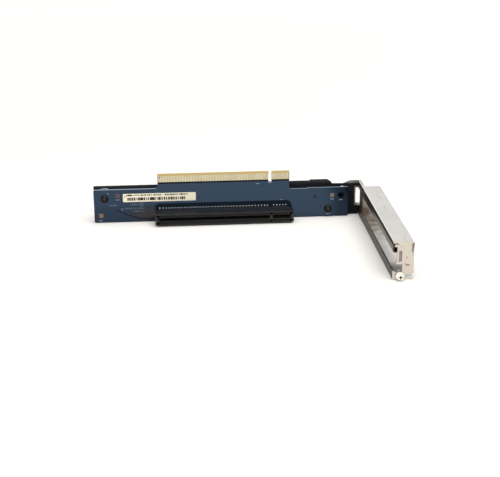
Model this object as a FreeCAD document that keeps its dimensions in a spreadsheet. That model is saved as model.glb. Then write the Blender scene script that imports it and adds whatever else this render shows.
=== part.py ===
"""PCIe riser card with its carrier bracket and expansion-slot cage, in millimetres.

The board stands on its lower long edge, as the part rests. Every sub-part is drawn about one datum:
X = 0 at the left end of the slot housing, Y = 0 on the front face of the board (a card plugs in
along +Y), Z = 0 at the board's lower edge. Each Placement then moves the sub-part so that the
origin is the middle of the whole part's box, on the plane that the part rests on.
"""
import FreeCAD, Part
import os
from types import SimpleNamespace

import Sketcher
from FreeCAD import Placement, Rotation, Vector

# Driving dimensions: alias, value in millimetres (or a count), meaning.
SIZES = (
    ("board_thick", 1.6, "laminate thickness"),
    ("board_left", -39.2, "left end of the board"),
    ("board_right", 125.9, "right end of the board"),
    ("board_top_left", 21.7, "top edge left of the tab"),
    ("board_top_right", 19.1, "top edge just right of the tab"),
    ("board_top_end", 19.5, "top edge from the small step to the right end"),
    ("board_step_x", 99.5, "where that step is"),
    ("shoulder_round", 1.5, "inner corner radius beside the tab"),
    ("corner_round", 0.8, "outer corners of the board"),
    ("tab_left", 1.9, "left edge of the x16 card-edge tab"),
    ("tab_right", 87.1, "right edge of the tab"),
    ("tab_top", 31.5, "top of the tab"),
    ("bevel_height", 1.3, "height of the bevel along the tab's edge"),
    ("bevel_depth", 0.47, "depth of that bevel on each face"),
    ("key_x", 74.5, "middle of the key, in the tab and in the slot"),
    ("key_width", 1.9, "width of the tab's key notch"),
    ("key_floor", 23.6, "floor of that notch"),
    ("key_round", 0.85, "corner radius of that floor"),
    ("spare_hole_x", 121.1, "open hole near the right end"),
    ("spare_hole_z", 14.2, "its height"),
    ("spare_hole_radius", 1.9, "its radius"),
    ("screw_left_x", -32.3, "left board screw"),
    ("screw_left_z", 15.8, "its height"),
    ("screw_right_x", 112.6, "right board screw"),
    ("screw_right_z", 5.0, "its height"),
    ("screw_hole_radius", 1.65, "clearance hole in the board and spacers"),
    ("pitch", 1.0, "contact pitch"),
    ("long_bank", 71, "contacts left of the key, on each side"),
    ("short_bank", 11, "contacts right of the key, on each side"),
    ("first_contact_x", 3.0, "first contact of the long bank"),
    ("second_bank_x", 76.0, "first contact of the short bank"),
    ("finger_width", 0.7, "gold finger width"),
    ("finger_thick", 0.05, "gold finger thickness"),
    ("finger_foot", 25.5, "lower end of the fingers"),
    ("housing_length", 89.0, "slot housing length"),
    ("housing_front", -11.25, "mating face of the housing"),
    ("housing_base", -0.35, "underside of the housing, held off the board by its feet"),
    ("housing_low", 0.35, "lower side of the housing"),
    ("housing_high", 7.95, "upper side of the housing"),
    ("slot_half", 0.95, "half width of the card slot"),
    ("slot_depth", 8.9, "depth of the card slot"),
    ("slot_end", 1.8, "wall at each end of the slot"),
    ("slot_key_width", 1.7, "key web across the slot"),
    ("lead_in", 0.6, "chamfer round the mouth of the slot"),
    ("recess_width", 0.64, "contact recess, along the slot"),
    ("recess_reach", 2.65, "contact recess, from the slot's middle"),
    ("end_step", 0.45, "how much lower the end blocks are on each side"),
    ("end_block", 1.6, "length of each end block"),
    ("face_groove", 0.35, "width and depth of the grooves along the mating face"),
    ("groove_inset", 1.0, "those grooves, from the housing's upper and lower sides"),
    ("dimple", 0.9, "side of the square dimples in the mating face"),
    ("dimple_off", 2.3, "dimples, from the slot's middle"),
    ("dimple_inset", 1.7, "outer dimples, from the housing's ends"),
    ("dimple_depth", 1.2, "depth of the dimples"),
    ("recess_depth", 9.5, "contact recess, from the mating face"),
    ("trough_half", 2.8, "half width of the trough in the underside, over the contacts' feet"),
    ("trough_depth", 1.5, "depth of that trough"),
    ("foot_inset", 1.0, "feet, from the housing's ends"),
    ("foot_half", 0.9, "half length of a foot"),
    ("foot_reach", 1.5, "half width of a foot"),
    ("peg_radius", 1.15, "locating pegs under the housing"),
    ("peg_left_x", 11.5, "locating peg near the left end; the other is at the key"),
    ("peg_gap", 0.05, "clearance of the board's holes round the pegs"),
    ("peg_root", 0.4, "how deep the pegs start inside the housing"),
    ("peg_length", 2.3, "peg length from there"),
    ("contact_width", 0.44, "contact width along the slot"),
    ("contact_thick", 0.28, "contact strip thickness"),
    ("contact_foot", 2.1, "contact's foot on the board, from the slot's middle"),
    ("contact_bow", 0.8, "where the contact bows to meet a card"),
    ("contact_bow_y", -8.6, "depth of that bow"),
    ("contact_tip", 1.35, "contact's tip, spread as a lead-in"),
    ("contact_tip_y", -10.3, "front of the tip"),
    ("tail_reach", 4.22, "visible tails, from the slot's middle"),
    ("sheet", 1.0, "carrier bracket sheet"),
    ("bracket_front", 3.6, "front face of the carrier bracket"),
    ("bracket_right", 133.0, "right end of the carrier bracket"),
    ("bracket_top", 22.6, "top of the bracket over the board"),
    ("bracket_top_right", 20.5, "top of the bracket beside the cage"),
    ("bracket_step_x", 114.6, "where the bracket steps down"),
    ("step_run", 1.2, "length of that sloping step"),
    ("step_drop", 0.4, "how much of it lies above the lower top edge"),
    ("flange_back", 6.6, "back edge of the top flange"),
    ("ear_left", 101.6, "left end of the wider ear of that flange"),
    ("ear_back", 8.6, "back edge of the ear"),
    ("ear_slope", 1.6, "how far the ear narrows towards its back edge"),
    ("bend_outside", 1.2, "outer radius of the bracket's bend"),
    ("bend_inside", 0.4, "inner radius of that bend"),
    ("boss_left", 6.4, "radius of the pad pressed forward round the left screw"),
    ("boss_right", 5.0, "radius of the pad round the right screw"),
    ("boss_face", 2.4, "front face of those pads"),
    ("boss_bevel", 0.5, "bevel round their rim"),
    ("boss_wall", 1.1, "how much narrower the hollow behind a pad is"),
    ("spacer_radius", 3.0, "fibre washers between the pads and the board"),
    ("rest_z", -0.5, "plane that the bracket and the cage rest on"),
    ("notch_left", 130.5, "tongue notch in the bracket's right end"),
    ("notch_low", 4.9, "its lower edge"),
    ("notch_high", 18.9, "its upper edge"),
    ("cage_sheet", 0.9, "cage sheet"),
    ("cage_left", 133.2, "outer face of the cage wall that the card bracket seats on"),
    ("cage_right", 145.3, "right side of the cage"),
    ("cage_top", 22.4, "top of the cage"),
    ("cage_near", -112.3, "end plate, where the card bracket's tab is screwed down"),
    ("cage_far", -9.0, "far edge of the top plate"),
    ("stop_face", 1.5, "front face of the rear stop, bent up from the bottom plate"),
    ("stop_top", 14.0, "top of the rear stop"),
    ("stop_gap", 0.3, "gap between the rear stop and the walls beside it"),
    ("cage_bend", 0.85, "outer radius of the cage's bends"),
    ("root_width", 1.7, "top of the wall behind the top plate, with its turned edge"),
    ("window_low", 5.0, "card window, lower edge"),
    ("rim_low", 21.3, "lower edge of the folded rim over the guide rail"),
    ("right_lip_low", 14.6, "lower edge of the right-hand lip"),
    ("plate_left", 138.3, "left edge of the end plate"),
    ("plate_low", 2.6, "lower edge of the end plate"),
    ("plate_low_left", 138.7, "that edge's left end"),
    ("plate_corner", 0.9, "cut corner at that edge's right end"),
    ("plate_shelf", 9.0, "step in the end plate's left edge"),
    ("strap_left", 135.6, "left edge of the strap beside the end plate"),
    ("strap_right", 136.6, "right edge of the strap"),
    ("strap_foot_left", 134.9, "left edge of the strap's foot"),
    ("strap_low", 10.2, "lower end of the slot behind the strap"),
    ("strap_low_right", 10.8, "the same on the slot's right side"),
    ("strap_high", 17.0, "upper end of that slot"),
    ("arm_low", 19.3, "arm from the end plate to the wall, lower edge"),
    ("arm_high", 20.8, "its upper edge"),
    ("tear_left", 137.3, "slanting relief cut at the arm's corner"),
    ("tear_right", 139.0, "its lower right end"),
    ("tear_low", 19.5, "height of that end"),
    ("tear_width", 0.5, "width of the cut"),
    ("side_gap", 0.8, "gap between the end plate and the right-hand lip"),
    ("side_gap_low", 14.2, "its lower end"),
    ("side_gap_high", 21.2, "its upper end"),
    ("lug_left", 133.5, "left edge of the lug that takes the card screw"),
    ("lug_right", 140.6, "its right edge"),
    ("lug_top", 4.4, "its top"),
    ("rear_left", 115.5, "left edge of the rear flange"),
    ("rear_low", 0.5, "its lower edge"),
    ("rear_corner_x", 127.6, "where the rear flange reaches its full height"),
    ("rear_corner_z", 17.4, "height of its left edge"),
    ("tongue_left", 131.5, "tongue slot in the rear flange"),
    ("tongue_low", 7.0, "its lower edge"),
    ("tongue_high", 17.4, "its upper edge"),
    ("tongue_front", -1.5, "how far the slot runs round the bend into the wall"),
    ("rivet_x", 122.3, "rivets through the bracket and the rear flange"),
    ("rivet_low_z", 4.5, "lower rivet"),
    ("rivet_high_z", 16.9, "upper rivet"),
    ("rivet_radius", 1.5, "rivet shank"),
    ("rivet_head", 2.2, "radius of the rivets' heads"),
    ("rivet_crown", 0.75, "height of those heads"),
    ("rail_sheet", 0.8, "guide rail sheet"),
    ("rail_width", 2.9, "guide rail, outside"),
    ("rail_low", 15.6, "bottom of the guide rail"),
    ("rail_lip", 20.0, "top of the rail's outer leg"),
    ("rail_bend_outside", 1.3, "outer radius of the rail's bends"),
    ("rail_bend_inside", 0.5, "inner radius of those bends"),
    ("rail_gap", 0.1, "gap between the rail's far end and the top plate's"),
    ("card_screw_x", 137.4, "card screw"),
    ("card_screw_z", 2.1, "its height"),
    ("thread_radius", 1.5, "M3 thread, major radius"),
    ("thread_gap", 0.02, "how much the plain shank is under it"),
    ("thread_lead", 0.4, "bevel at the end of a shank"),
    ("board_head", 2.55, "head radius of the board screws"),
    ("board_head_high", 1.7, "height of those heads"),
    ("board_shank", 1.0, "how far their shanks run out behind the bracket"),
    ("card_head", 2.45, "head radius of the card screw"),
    ("card_head_high", 3.0, "height of that head"),
    ("card_shank", 3.6, "how far its shank runs on behind the end plate"),
    ("washer_thick", 0.5, "toothed washer under the card screw"),
    ("washer_ring", 2.3, "its ring, outside"),
    ("washer_reach", 2.6, "its teeth, outside"),
    ("washer_gap", 0.1, "clearance of its bore"),
    ("washer_teeth", 12, "its number of teeth"),
    ("washer_tooth", 0.6, "width of a tooth"),
    ("label_left", -20.5, "left edge of the label"),
    ("label_right", 26.4, "right edge"),
    ("label_low", 13.3, "lower edge"),
    ("label_high", 18.8, "upper edge"),
    ("label_thick", 0.1, "label thickness"),
    ("label_round", 0.6, "corner radius of the label"),
    ("pad_left_x", -34.8, "square pad at the board's left end"),
    ("pad_left_z", 4.5, "its height"),
    ("pad_middle_x", -23.8, "square pad beside the label"),
    ("pad_middle_z", 17.6, "its height"),
    ("pad_right_x", 115.3, "square pad beside the open hole"),
    ("pad_right_z", 14.1, "its height"),
    ("pad_size", 2.8, "side of the square test pads"),
    ("pad_thick", 0.06, "thickness of the pads"),
    ("shift_x", -53.05, "moves the datum to the middle of the box"),
    ("shift_y", 53.6, "moves the datum to the middle of the box"),
)


class Dim:
    """A size that carries both its value and the spreadsheet expression that it comes from."""

    def __init__(self, value, text):
        self.value = float(value)
        self.text = text

    @staticmethod
    def of(other):
        """A plain number as a size of its own."""
        return other if isinstance(other, Dim) else Dim(other, repr(float(other)))

    def combine(self, other, sign, value):
        """The sum, difference, product or quotient with its expression written out."""
        return Dim(value, "(%s %s %s)" % (self.text, sign, Dim.of(other).text))

    def __add__(self, other):
        return self.combine(other, "+", self.value + Dim.of(other).value)

    def __sub__(self, other):
        return self.combine(other, "-", self.value - Dim.of(other).value)

    def __mul__(self, other):
        return self.combine(other, "*", self.value * Dim.of(other).value)

    def __truediv__(self, other):
        return self.combine(other, "/", self.value / Dim.of(other).value)


doc = FreeCAD.newDocument("riser_card")
sheet = doc.addObject("Spreadsheet::Sheet", "Dims")
for row, (alias, value, meaning) in enumerate(SIZES, start=1):
    sheet.set("A%d" % row, alias)
    sheet.set("B%d" % row, str(value))
    sheet.set("C%d" % row, meaning)
    sheet.setAlias("B%d" % row, alias)
doc.recompute()
d = SimpleNamespace(**{alias: Dim(value, "Dims." + alias) for alias, value, _ in SIZES})
slot_mid = (d.housing_low + d.housing_high) / 2
ZERO = Dim.of(0)
BEYOND = 1.0  # how far a cut runs past the material that it opens, in millimetres


def bind(item, setting, size):
    """Bind a property or a named constraint of an object to the spreadsheet."""
    item.setExpression(setting, Dim.of(size).text)


def place(item):
    """Move a finished sub-part from the drawing datum to the part's own frame."""
    bind(item, "Placement.Base.x", d.shift_x)
    bind(item, "Placement.Base.y", d.shift_y)
    bind(item, "Placement.Base.z", ZERO - d.rest_z)


def new_body(label):
    body = doc.addObject("PartDesign::Body", label)
    body.Label = label
    body.AllowCompound = True
    place(body)
    return body


def origin_item(body, role):
    return next(item for item in body.Origin.OriginFeatures if item.Role == role)


# Each plane's role and the sense of its normal: a sketch on XZ faces -Y.
PLANES = {"XY": ("XY_Plane", 1), "XZ": ("XZ_Plane", -1), "YZ": ("YZ_Plane", 1)}
ALONG_X, ALONG_Y = Vector(1, 0, 0), Vector(0, 1, 0)


def new_sketch(body, plane, level, name):
    """A sketch on one of the body's origin planes, moved to a level along the plane's own axis."""
    role, sign = PLANES[plane]
    sketch = body.newObject("Sketcher::SketchObject", name)
    sketch.AttachmentSupport = (origin_item(body, role), [""])
    sketch.MapMode = "FlatFace"
    bind(sketch, "AttachmentOffset.Base.z", Dim.of(level) * sign)
    return sketch


def pin_point(sketch, geometry, end, x, y):
    """Hold a point of the sketch at two sizes measured from its origin."""
    for kind, size in (("DistanceX", Dim.of(x)), ("DistanceY", Dim.of(y))):
        index = sketch.addConstraint(Sketcher.Constraint(kind, -1, 1, geometry, end, size.value))
        bind(sketch, "Constraints[%d]" % index, size)


def polygon(sketch, corners):
    """A closed outline through corners, each held by its own two sizes."""
    first = sketch.GeometryCount
    points = [Vector(Dim.of(x).value, Dim.of(y).value, 0) for x, y in corners]
    count = len(points)
    for index in range(count):
        sketch.addGeometry(Part.LineSegment(points[index], points[(index + 1) % count]), False)
    for index in range(count):
        after = (index + 1) % count
        sketch.addConstraint(Sketcher.Constraint("Coincident", first + index, 2, first + after, 1))
    for index, (x, y) in enumerate(corners):
        pin_point(sketch, first + index, 1, x, y)


def rectangle(sketch, left, right, low, high):
    polygon(sketch, ((left, low), (right, low), (right, high), (left, high)))


def circle(sketch, x, y, radius):
    centre = Vector(Dim.of(x).value, Dim.of(y).value, 0)
    index = sketch.addGeometry(Part.Circle(centre, Vector(0, 0, 1), Dim.of(radius).value), False)
    pin_point(sketch, index, 3, x, y)
    held = sketch.addConstraint(Sketcher.Constraint("Radius", index, Dim.of(radius).value))
    bind(sketch, "Constraints[%d]" % held, radius)


def pad(body, sketch, length, backwards=False):
    """Extrude a sketch along its plane's normal, or the other way."""
    feature = body.newObject("PartDesign::Pad", sketch.Name + "_pad")
    feature.Profile = sketch
    bind(feature, "Length", length)
    feature.Reversed = backwards
    doc.recompute()
    return feature


def pocket(body, sketch, length, forwards=False):
    """Cut a sketch into the body and make sure that it took something away."""
    before = body.Shape.Volume
    feature = body.newObject("PartDesign::Pocket", sketch.Name + "_pocket")
    feature.Profile = sketch
    bind(feature, "Length", length)
    feature.Reversed = forwards
    doc.recompute()
    if body.Shape.Volume > before - 1e-4:
        raise RuntimeError("%s cuts nothing" % feature.Name)
    return feature


def repeat_along_x(body, feature, step, count):
    """Repeat a feature along the row of contacts."""
    pattern = body.newObject("PartDesign::LinearPattern", feature.Name + "_row")
    pattern.Originals = [feature]
    pattern.Direction = (origin_item(body, "X_Axis"), [""])
    bind(pattern, "Length", Dim.of(step) * (Dim.of(count) - 1))
    bind(pattern, "Occurrences", count)
    body.Tip = pattern
    doc.recompute()
    return pattern


def turn(body, profile, axis_line):
    """Revolve a profile about one of its own lines, counted from 1."""
    turned = body.newObject("PartDesign::Revolution", profile.Name + "_turned")
    turned.Profile = profile
    turned.ReferenceAxis = (profile, ["Edge%d" % axis_line])
    turned.Angle = 360
    doc.recompute()
    return turned


def edges_along(feature, axis, test):
    """Names of a feature's edges that run along an axis and whose two ends pass a test."""
    names = []
    for number, edge in enumerate(feature.Shape.Edges, start=1):
        ends = [vertex.Point for vertex in edge.Vertexes]
        if len(ends) != 2 or not all(test(point) for point in ends):
            continue
        run = (ends[1] - ends[0]).normalize()
        if abs(abs(run.dot(axis)) - 1) < 1e-6:
            names.append("Edge%d" % number)
    return names


def near(value, size):
    return abs(value - Dim.of(size).value) < 1e-3


def dress(body, kind, setting, feature, size, axis, test):
    """Round (Fillet) or bevel (Chamfer) the edges along an axis that pass a test."""
    names = edges_along(feature, axis, test)
    if not names:
        raise RuntimeError("no edge to dress on %s" % feature.Name)
    dressed = body.newObject("PartDesign::" + kind, "%s_%s" % (feature.Name, kind.lower()))
    dressed.Base = (feature, names)
    bind(dressed, setting, size)
    doc.recompute()
    if "Invalid" in dressed.State:
        raise RuntimeError("%s failed" % dressed.Name)
    return dressed


def fillet(body, feature, radius, axis, test):
    return dress(body, "Fillet", "Radius", feature, radius, axis, test)


def chamfer(body, feature, size, axis, test):
    return dress(body, "Chamfer", "Size", feature, size, axis, test)


# ---------------------------------------------------------------- the board

def make_board():
    """Laminate with the x16 card-edge tab, its key notch, bevelled edge and holes."""
    body = new_body("riser_board")
    key_left = d.key_x - d.key_width / 2
    key_right = d.key_x + d.key_width / 2
    outline = new_sketch(body, "XZ", 0, "board_outline")
    polygon(outline, (
        (d.board_left, 0), (d.board_right, 0), (d.board_right, d.board_top_end),
        (d.board_step_x, d.board_top_end), (d.board_step_x - BEYOND, d.board_top_right),
        (d.tab_right, d.board_top_right), (d.tab_right, d.tab_top),
        (key_right, d.tab_top), (key_right, d.key_floor), (key_left, d.key_floor),
        (key_left, d.tab_top), (d.tab_left, d.tab_top),
        (d.tab_left, d.board_top_left), (d.board_left, d.board_top_left)))
    plate = pad(body, outline, d.board_thick, backwards=True)
    shoulders = fillet(body, plate, d.shoulder_round, ALONG_Y, lambda p: (
        (near(p.x, d.tab_left) and near(p.z, d.board_top_left))
        or (near(p.x, d.tab_right) and near(p.z, d.board_top_right))))
    notch = fillet(body, shoulders, d.key_round, ALONG_Y, lambda p: near(p.z, d.key_floor))
    fillet(body, notch, d.corner_round, ALONG_Y, lambda p: (
        near(p.x, d.board_left) or near(p.x, d.board_right)))
    bevel = new_sketch(body, "YZ", d.tab_left - BEYOND, "tab_bevel")
    bevel_low = d.tab_top - d.bevel_height
    above = d.tab_top + BEYOND
    back = d.board_thick
    for face, inward, outside in ((ZERO, d.bevel_depth, ZERO - BEYOND),
                                  (back, back - d.bevel_depth, back + BEYOND)):
        polygon(bevel, ((face, bevel_low), (inward, d.tab_top), (inward, above),
                        (outside, above), (outside, bevel_low)))
    pocket(body, bevel, d.tab_right - d.tab_left + 2 * BEYOND, forwards=True)
    holes = new_sketch(body, "XZ", 0, "board_holes")
    circle(holes, d.spare_hole_x, d.spare_hole_z, d.spare_hole_radius)
    circle(holes, d.screw_left_x, d.screw_left_z, d.screw_hole_radius)
    circle(holes, d.screw_right_x, d.screw_right_z, d.screw_hole_radius)
    for peg_x in peg_places():
        circle(holes, peg_x, slot_mid, d.peg_radius + d.peg_gap)
    pocket(body, holes, d.board_thick)
    return body


def peg_places():
    """The housing's two locating pegs, at the key and near the left end."""
    return (d.peg_left_x, d.key_x)


def make_fingers(label, face, outward):
    """One side's gold fingers: a long and a short bank on the contact pitch."""
    body = new_body(label)
    top = d.tab_top - d.bevel_height
    for bank, start, count in (("long", d.first_contact_x, d.long_bank),
                               ("short", d.second_bank_x, d.short_bank)):
        cell = new_sketch(body, "XZ", face, "%s_%s" % (label, bank))
        rectangle(cell, start - d.finger_width / 2, start + d.finger_width / 2, d.finger_foot, top)
        finger = pad(body, cell, d.finger_thick, backwards=not outward)
        repeat_along_x(body, finger, d.pitch, count)
    return body


def make_label():
    """Printed paper label on the board's front."""
    body = new_body("label_sticker")
    face = new_sketch(body, "XZ", 0, "label_outline")
    rectangle(face, d.label_left, d.label_right, d.label_low, d.label_high)
    sticker = pad(body, face, d.label_thick)
    fillet(body, sticker, d.label_round, ALONG_Y, lambda p: True)
    return body


def make_pads():
    """Three square test pads beside the screws."""
    body = new_body("square_pads")
    face = new_sketch(body, "XZ", 0, "pad_outlines")
    half = d.pad_size / 2
    for x, z in ((d.pad_left_x, d.pad_left_z), (d.pad_middle_x, d.pad_middle_z),
                 (d.pad_right_x, d.pad_right_z)):
        rectangle(face, x - half, x + half, z - half, z + half)
    pad(body, face, d.pad_thick)
    return body


# ---------------------------------------------------------------- the slot

def make_housing():
    """Moulded slot housing: card slot with key web, contact recesses, feet and pegs."""
    body = new_body("slot_housing")
    length = d.housing_length
    groove = d.face_groove
    low_groove = d.housing_low + d.groove_inset
    high_groove = d.housing_high - d.groove_inset
    section = new_sketch(body, "YZ", 0, "housing_section")
    front, behind = d.housing_front, d.housing_front + groove
    polygon(section, (
        (d.housing_base, d.housing_low), (d.housing_base, d.housing_high), (front, d.housing_high),
        (front, high_groove + groove), (behind, high_groove + groove), (behind, high_groove),
        (front, high_groove), (front, low_groove), (behind, low_groove),
        (behind, low_groove - groove), (front, low_groove - groove), (front, d.housing_low)))
    pad(body, section, length)

    key_left = d.key_x - d.slot_key_width / 2
    key_right = d.key_x + d.slot_key_width / 2
    low, high = slot_mid - d.slot_half, slot_mid + d.slot_half
    mouth = new_sketch(body, "XZ", front, "card_slot")
    rectangle(mouth, d.slot_end, key_left, low, high)
    rectangle(mouth, key_right, length - d.slot_end, low, high)
    slot = pocket(body, mouth, d.slot_depth)
    chamfer(body, slot, d.lead_in, ALONG_X, lambda p: (
        near(p.y, front) and (near(p.z, low) or near(p.z, high))))

    steps = new_sketch(body, "XZ", front, "end_steps")
    for left, right in ((ZERO - BEYOND, d.end_block), (length - d.end_block, length + BEYOND)):
        rectangle(steps, left, right, d.housing_low - BEYOND, d.housing_low + d.end_step)
        rectangle(steps, left, right, d.housing_high - d.end_step, d.housing_high + BEYOND)
    pocket(body, steps, d.housing_base - front + BEYOND)

    dimples = new_sketch(body, "XZ", front, "mould_dimples")
    half = d.dimple / 2
    for x in (d.key_x, d.dimple_inset, length - d.dimple_inset):
        for z in (slot_mid - d.dimple_off, slot_mid + d.dimple_off):
            rectangle(dimples, x - half, x + half, z - half, z + half)
    pocket(body, dimples, d.dimple_depth)

    half = d.recess_width / 2
    for bank, start, count in (("long", d.first_contact_x, d.long_bank),
                               ("short", d.second_bank_x, d.short_bank)):
        cell = new_sketch(body, "XZ", front, "recess_%s" % bank)
        rectangle(cell, start - half, start + half,
                  slot_mid - d.recess_reach, slot_mid + d.recess_reach)
        recess = pocket(body, cell, d.recess_depth)
        repeat_along_x(body, recess, d.pitch, count)

    troughs = new_sketch(body, "XZ", d.housing_base, "foot_troughs")
    for start, count in ((d.first_contact_x, d.long_bank), (d.second_bank_x, d.short_bank)):
        left, right = start - d.recess_width, start + d.pitch * (count - 1) + d.recess_width
        rectangle(troughs, left, right, slot_mid - d.trough_half, slot_mid + d.trough_half)
    pocket(body, troughs, d.trough_depth, forwards=True)

    feet = new_sketch(body, "XZ", d.housing_base, "feet")
    for x in (d.foot_inset, length - d.foot_inset):
        rectangle(feet, x - d.foot_half, x + d.foot_half,
                  slot_mid - d.foot_reach, slot_mid + d.foot_reach)
    pad(body, feet, ZERO - d.housing_base, backwards=True)
    pegs = new_sketch(body, "XZ", d.housing_base - d.peg_root, "pegs")
    for peg_x in peg_places():
        circle(pegs, peg_x, slot_mid, d.peg_radius)
    pad(body, pegs, d.peg_length, backwards=True)
    return body


def make_contacts(label, side):
    """One side's spring contacts: foot on the board, beam, contact bow and spread tip.

    Every other foot runs out past the housing as a visible tail.
    """
    body = new_body(label)
    strip = d.contact_thick

    def at(y, away):
        return y, slot_mid + away * side

    for bank, start, count in (("long", d.first_contact_x, d.long_bank),
                               ("short", d.second_bank_x, d.short_bank)):
        section = new_sketch(body, "YZ", start - d.contact_width / 2, "%s_%s" % (label, bank))
        polygon(section, (
            at(ZERO, d.contact_foot), at(d.contact_bow_y, d.contact_bow),
            at(d.contact_tip_y, d.contact_tip), at(d.contact_tip_y, d.contact_tip + strip),
            at(d.contact_bow_y, d.contact_bow + strip), at(ZERO, d.contact_foot + strip)))
        beam = pad(body, section, d.contact_width)
        repeat_along_x(body, beam, d.pitch, count)
    tail_count = {"long": (d.long_bank + 1) / 2, "short": (d.short_bank - 1) / 2}
    reach = [slot_mid + away * side for away in (d.contact_foot, d.tail_reach)]
    low, high = sorted(reach, key=lambda size: size.value)
    for bank, start in (("long", d.first_contact_x), ("short", d.second_bank_x + d.pitch)):
        foot = new_sketch(body, "XZ", 0, "%s_%s_tail" % (label, bank))
        rectangle(foot, start - d.contact_width / 2, start + d.contact_width / 2, low, high)
        tail = pad(body, foot, strip)
        repeat_along_x(body, tail, d.pitch * 2, tail_count[bank])
    return body


# ---------------------------------------------------------------- the carrier bracket

def make_bracket():
    """Black folded bracket: plate, top flange with a wider ear, pressed pads, tongue notch."""
    body = new_body("carrier_bracket")
    front, back = d.bracket_front, d.bracket_front + d.sheet
    screws = ((d.screw_left_x, d.screw_left_z, d.boss_left),
              (d.screw_right_x, d.screw_right_z, d.boss_right))
    outline = new_sketch(body, "XZ", front, "bracket_outline")
    polygon(outline, (
        (d.board_left, d.rest_z), (d.bracket_right, d.rest_z), (d.bracket_right, d.notch_low),
        (d.notch_left, d.notch_low), (d.notch_left, d.notch_high), (d.bracket_right, d.notch_high),
        (d.bracket_right, d.bracket_top_right),
        (d.bracket_step_x + d.step_run, d.bracket_top_right + d.step_drop),
        (d.bracket_step_x, d.bracket_top), (d.board_left, d.bracket_top)))
    pad(body, outline, d.sheet, backwards=True)
    flange = new_sketch(body, "XY", d.bracket_top - d.sheet, "top_flange")
    inside = back - d.sheet / 2
    polygon(flange, (
        (d.board_left, inside), (d.bracket_step_x, inside),
        (d.bracket_step_x - d.ear_slope, d.ear_back), (d.ear_left, d.ear_back),
        (d.ear_left, d.flange_back), (d.board_left, d.flange_back)))
    fold = pad(body, flange, d.sheet)
    bend = fillet(body, fold, d.bend_outside, ALONG_X, lambda p: (
        near(p.y, front) and near(p.z, d.bracket_top)))
    fillet(body, bend, d.bend_inside, ALONG_X, lambda p: (
        near(p.y, back) and near(p.z, d.bracket_top - d.sheet)))
    boss = new_sketch(body, "XZ", d.boss_face, "boss_outline")
    hollow = new_sketch(body, "XZ", back, "boss_hollow")
    for x, z, radius in screws:
        circle(boss, x, z, radius)
        circle(hollow, x, z, radius - d.boss_wall)
    pressed = pad(body, boss, inside - d.boss_face, backwards=True)
    rims = ["Edge%d" % number for number, edge in enumerate(pressed.Shape.Edges, start=1)
            if isinstance(edge.Curve, Part.Circle) and near(edge.Curve.Center.y, d.boss_face)]
    bevel = body.newObject("PartDesign::Chamfer", "boss_bevel")
    bevel.Base = (pressed, rims)
    bind(bevel, "Size", d.boss_bevel)
    doc.recompute()
    pocket(body, hollow, front - d.boss_face, forwards=True)
    holes = new_sketch(body, "XZ", d.boss_face, "bracket_holes")
    for x, z, _ in screws:
        circle(holes, x, z, d.thread_radius)
    for z in (d.rivet_low_z, d.rivet_high_z):
        circle(holes, d.rivet_x, z, d.rivet_radius)
    pocket(body, holes, back - d.boss_face)
    return body


def make_spacer(label, x, z):
    """Fibre washer between the board and a pad of the bracket."""
    height = d.boss_face - d.board_thick
    disc = doc.addObject("Part::Cylinder", label + "_disc")
    bind(disc, "Radius", d.spacer_radius)
    bore = doc.addObject("Part::Cylinder", label + "_bore")
    bind(bore, "Radius", d.screw_hole_radius)
    spacer = doc.addObject("Part::Cut", label)
    for round_part in (disc, bore):
        bind(round_part, "Height", height)
    spacer.Base = disc
    spacer.Tool = bore
    spacer.Label = label
    spacer.Placement = Placement(Vector(0, 0, 0), Rotation(Vector(1, 0, 0), -90))
    bind(spacer, "Placement.Base.x", d.shift_x + x)
    bind(spacer, "Placement.Base.y", d.shift_y + d.board_thick)
    bind(spacer, "Placement.Base.z", z - d.rest_z)
    return spacer


# A pan head's outline, as shares of its radius and of its height below the crown.
PAN_HEAD = ((0.7, 0.0), (1.0, 0.6))
CROSS_ARM, CROSS_BLADE, CROSS_DEPTH = 0.5, 0.13, 0.6  # shares of the head's radius and height


def make_screw(label, x, z, seat, head_radius, head_height, shank_end):
    """Pan-head screw on an axis along Y: head in front of its seat, cross recess, plain shank."""
    body = new_body(label)
    front = seat - head_height
    shank = x + d.thread_radius - d.thread_gap
    profile = new_sketch(body, "XY", z, label + "_profile")
    crown = [(x + head_radius * out, front + head_height * down) for out, down in PAN_HEAD]
    corners = [(x, front), *crown, (x + head_radius, seat), (shank, seat),
               (shank, shank_end - d.thread_lead), (shank - d.thread_lead, shank_end),
               (x, shank_end)]
    polygon(profile, corners)
    turn(body, profile, len(corners))
    cross = new_sketch(body, "XZ", front, label + "_cross")
    arm, blade = head_radius * CROSS_ARM, head_radius * CROSS_BLADE
    polygon(cross, (
        (x - arm, z - blade), (x - blade, z - blade), (x - blade, z - arm), (x + blade, z - arm),
        (x + blade, z - blade), (x + arm, z - blade), (x + arm, z + blade), (x + blade, z + blade),
        (x + blade, z + arm), (x - blade, z + arm), (x - blade, z + blade), (x - arm, z + blade)))
    pocket(body, cross, head_height * CROSS_DEPTH)
    return body


# ---------------------------------------------------------------- the slot cage

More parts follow.
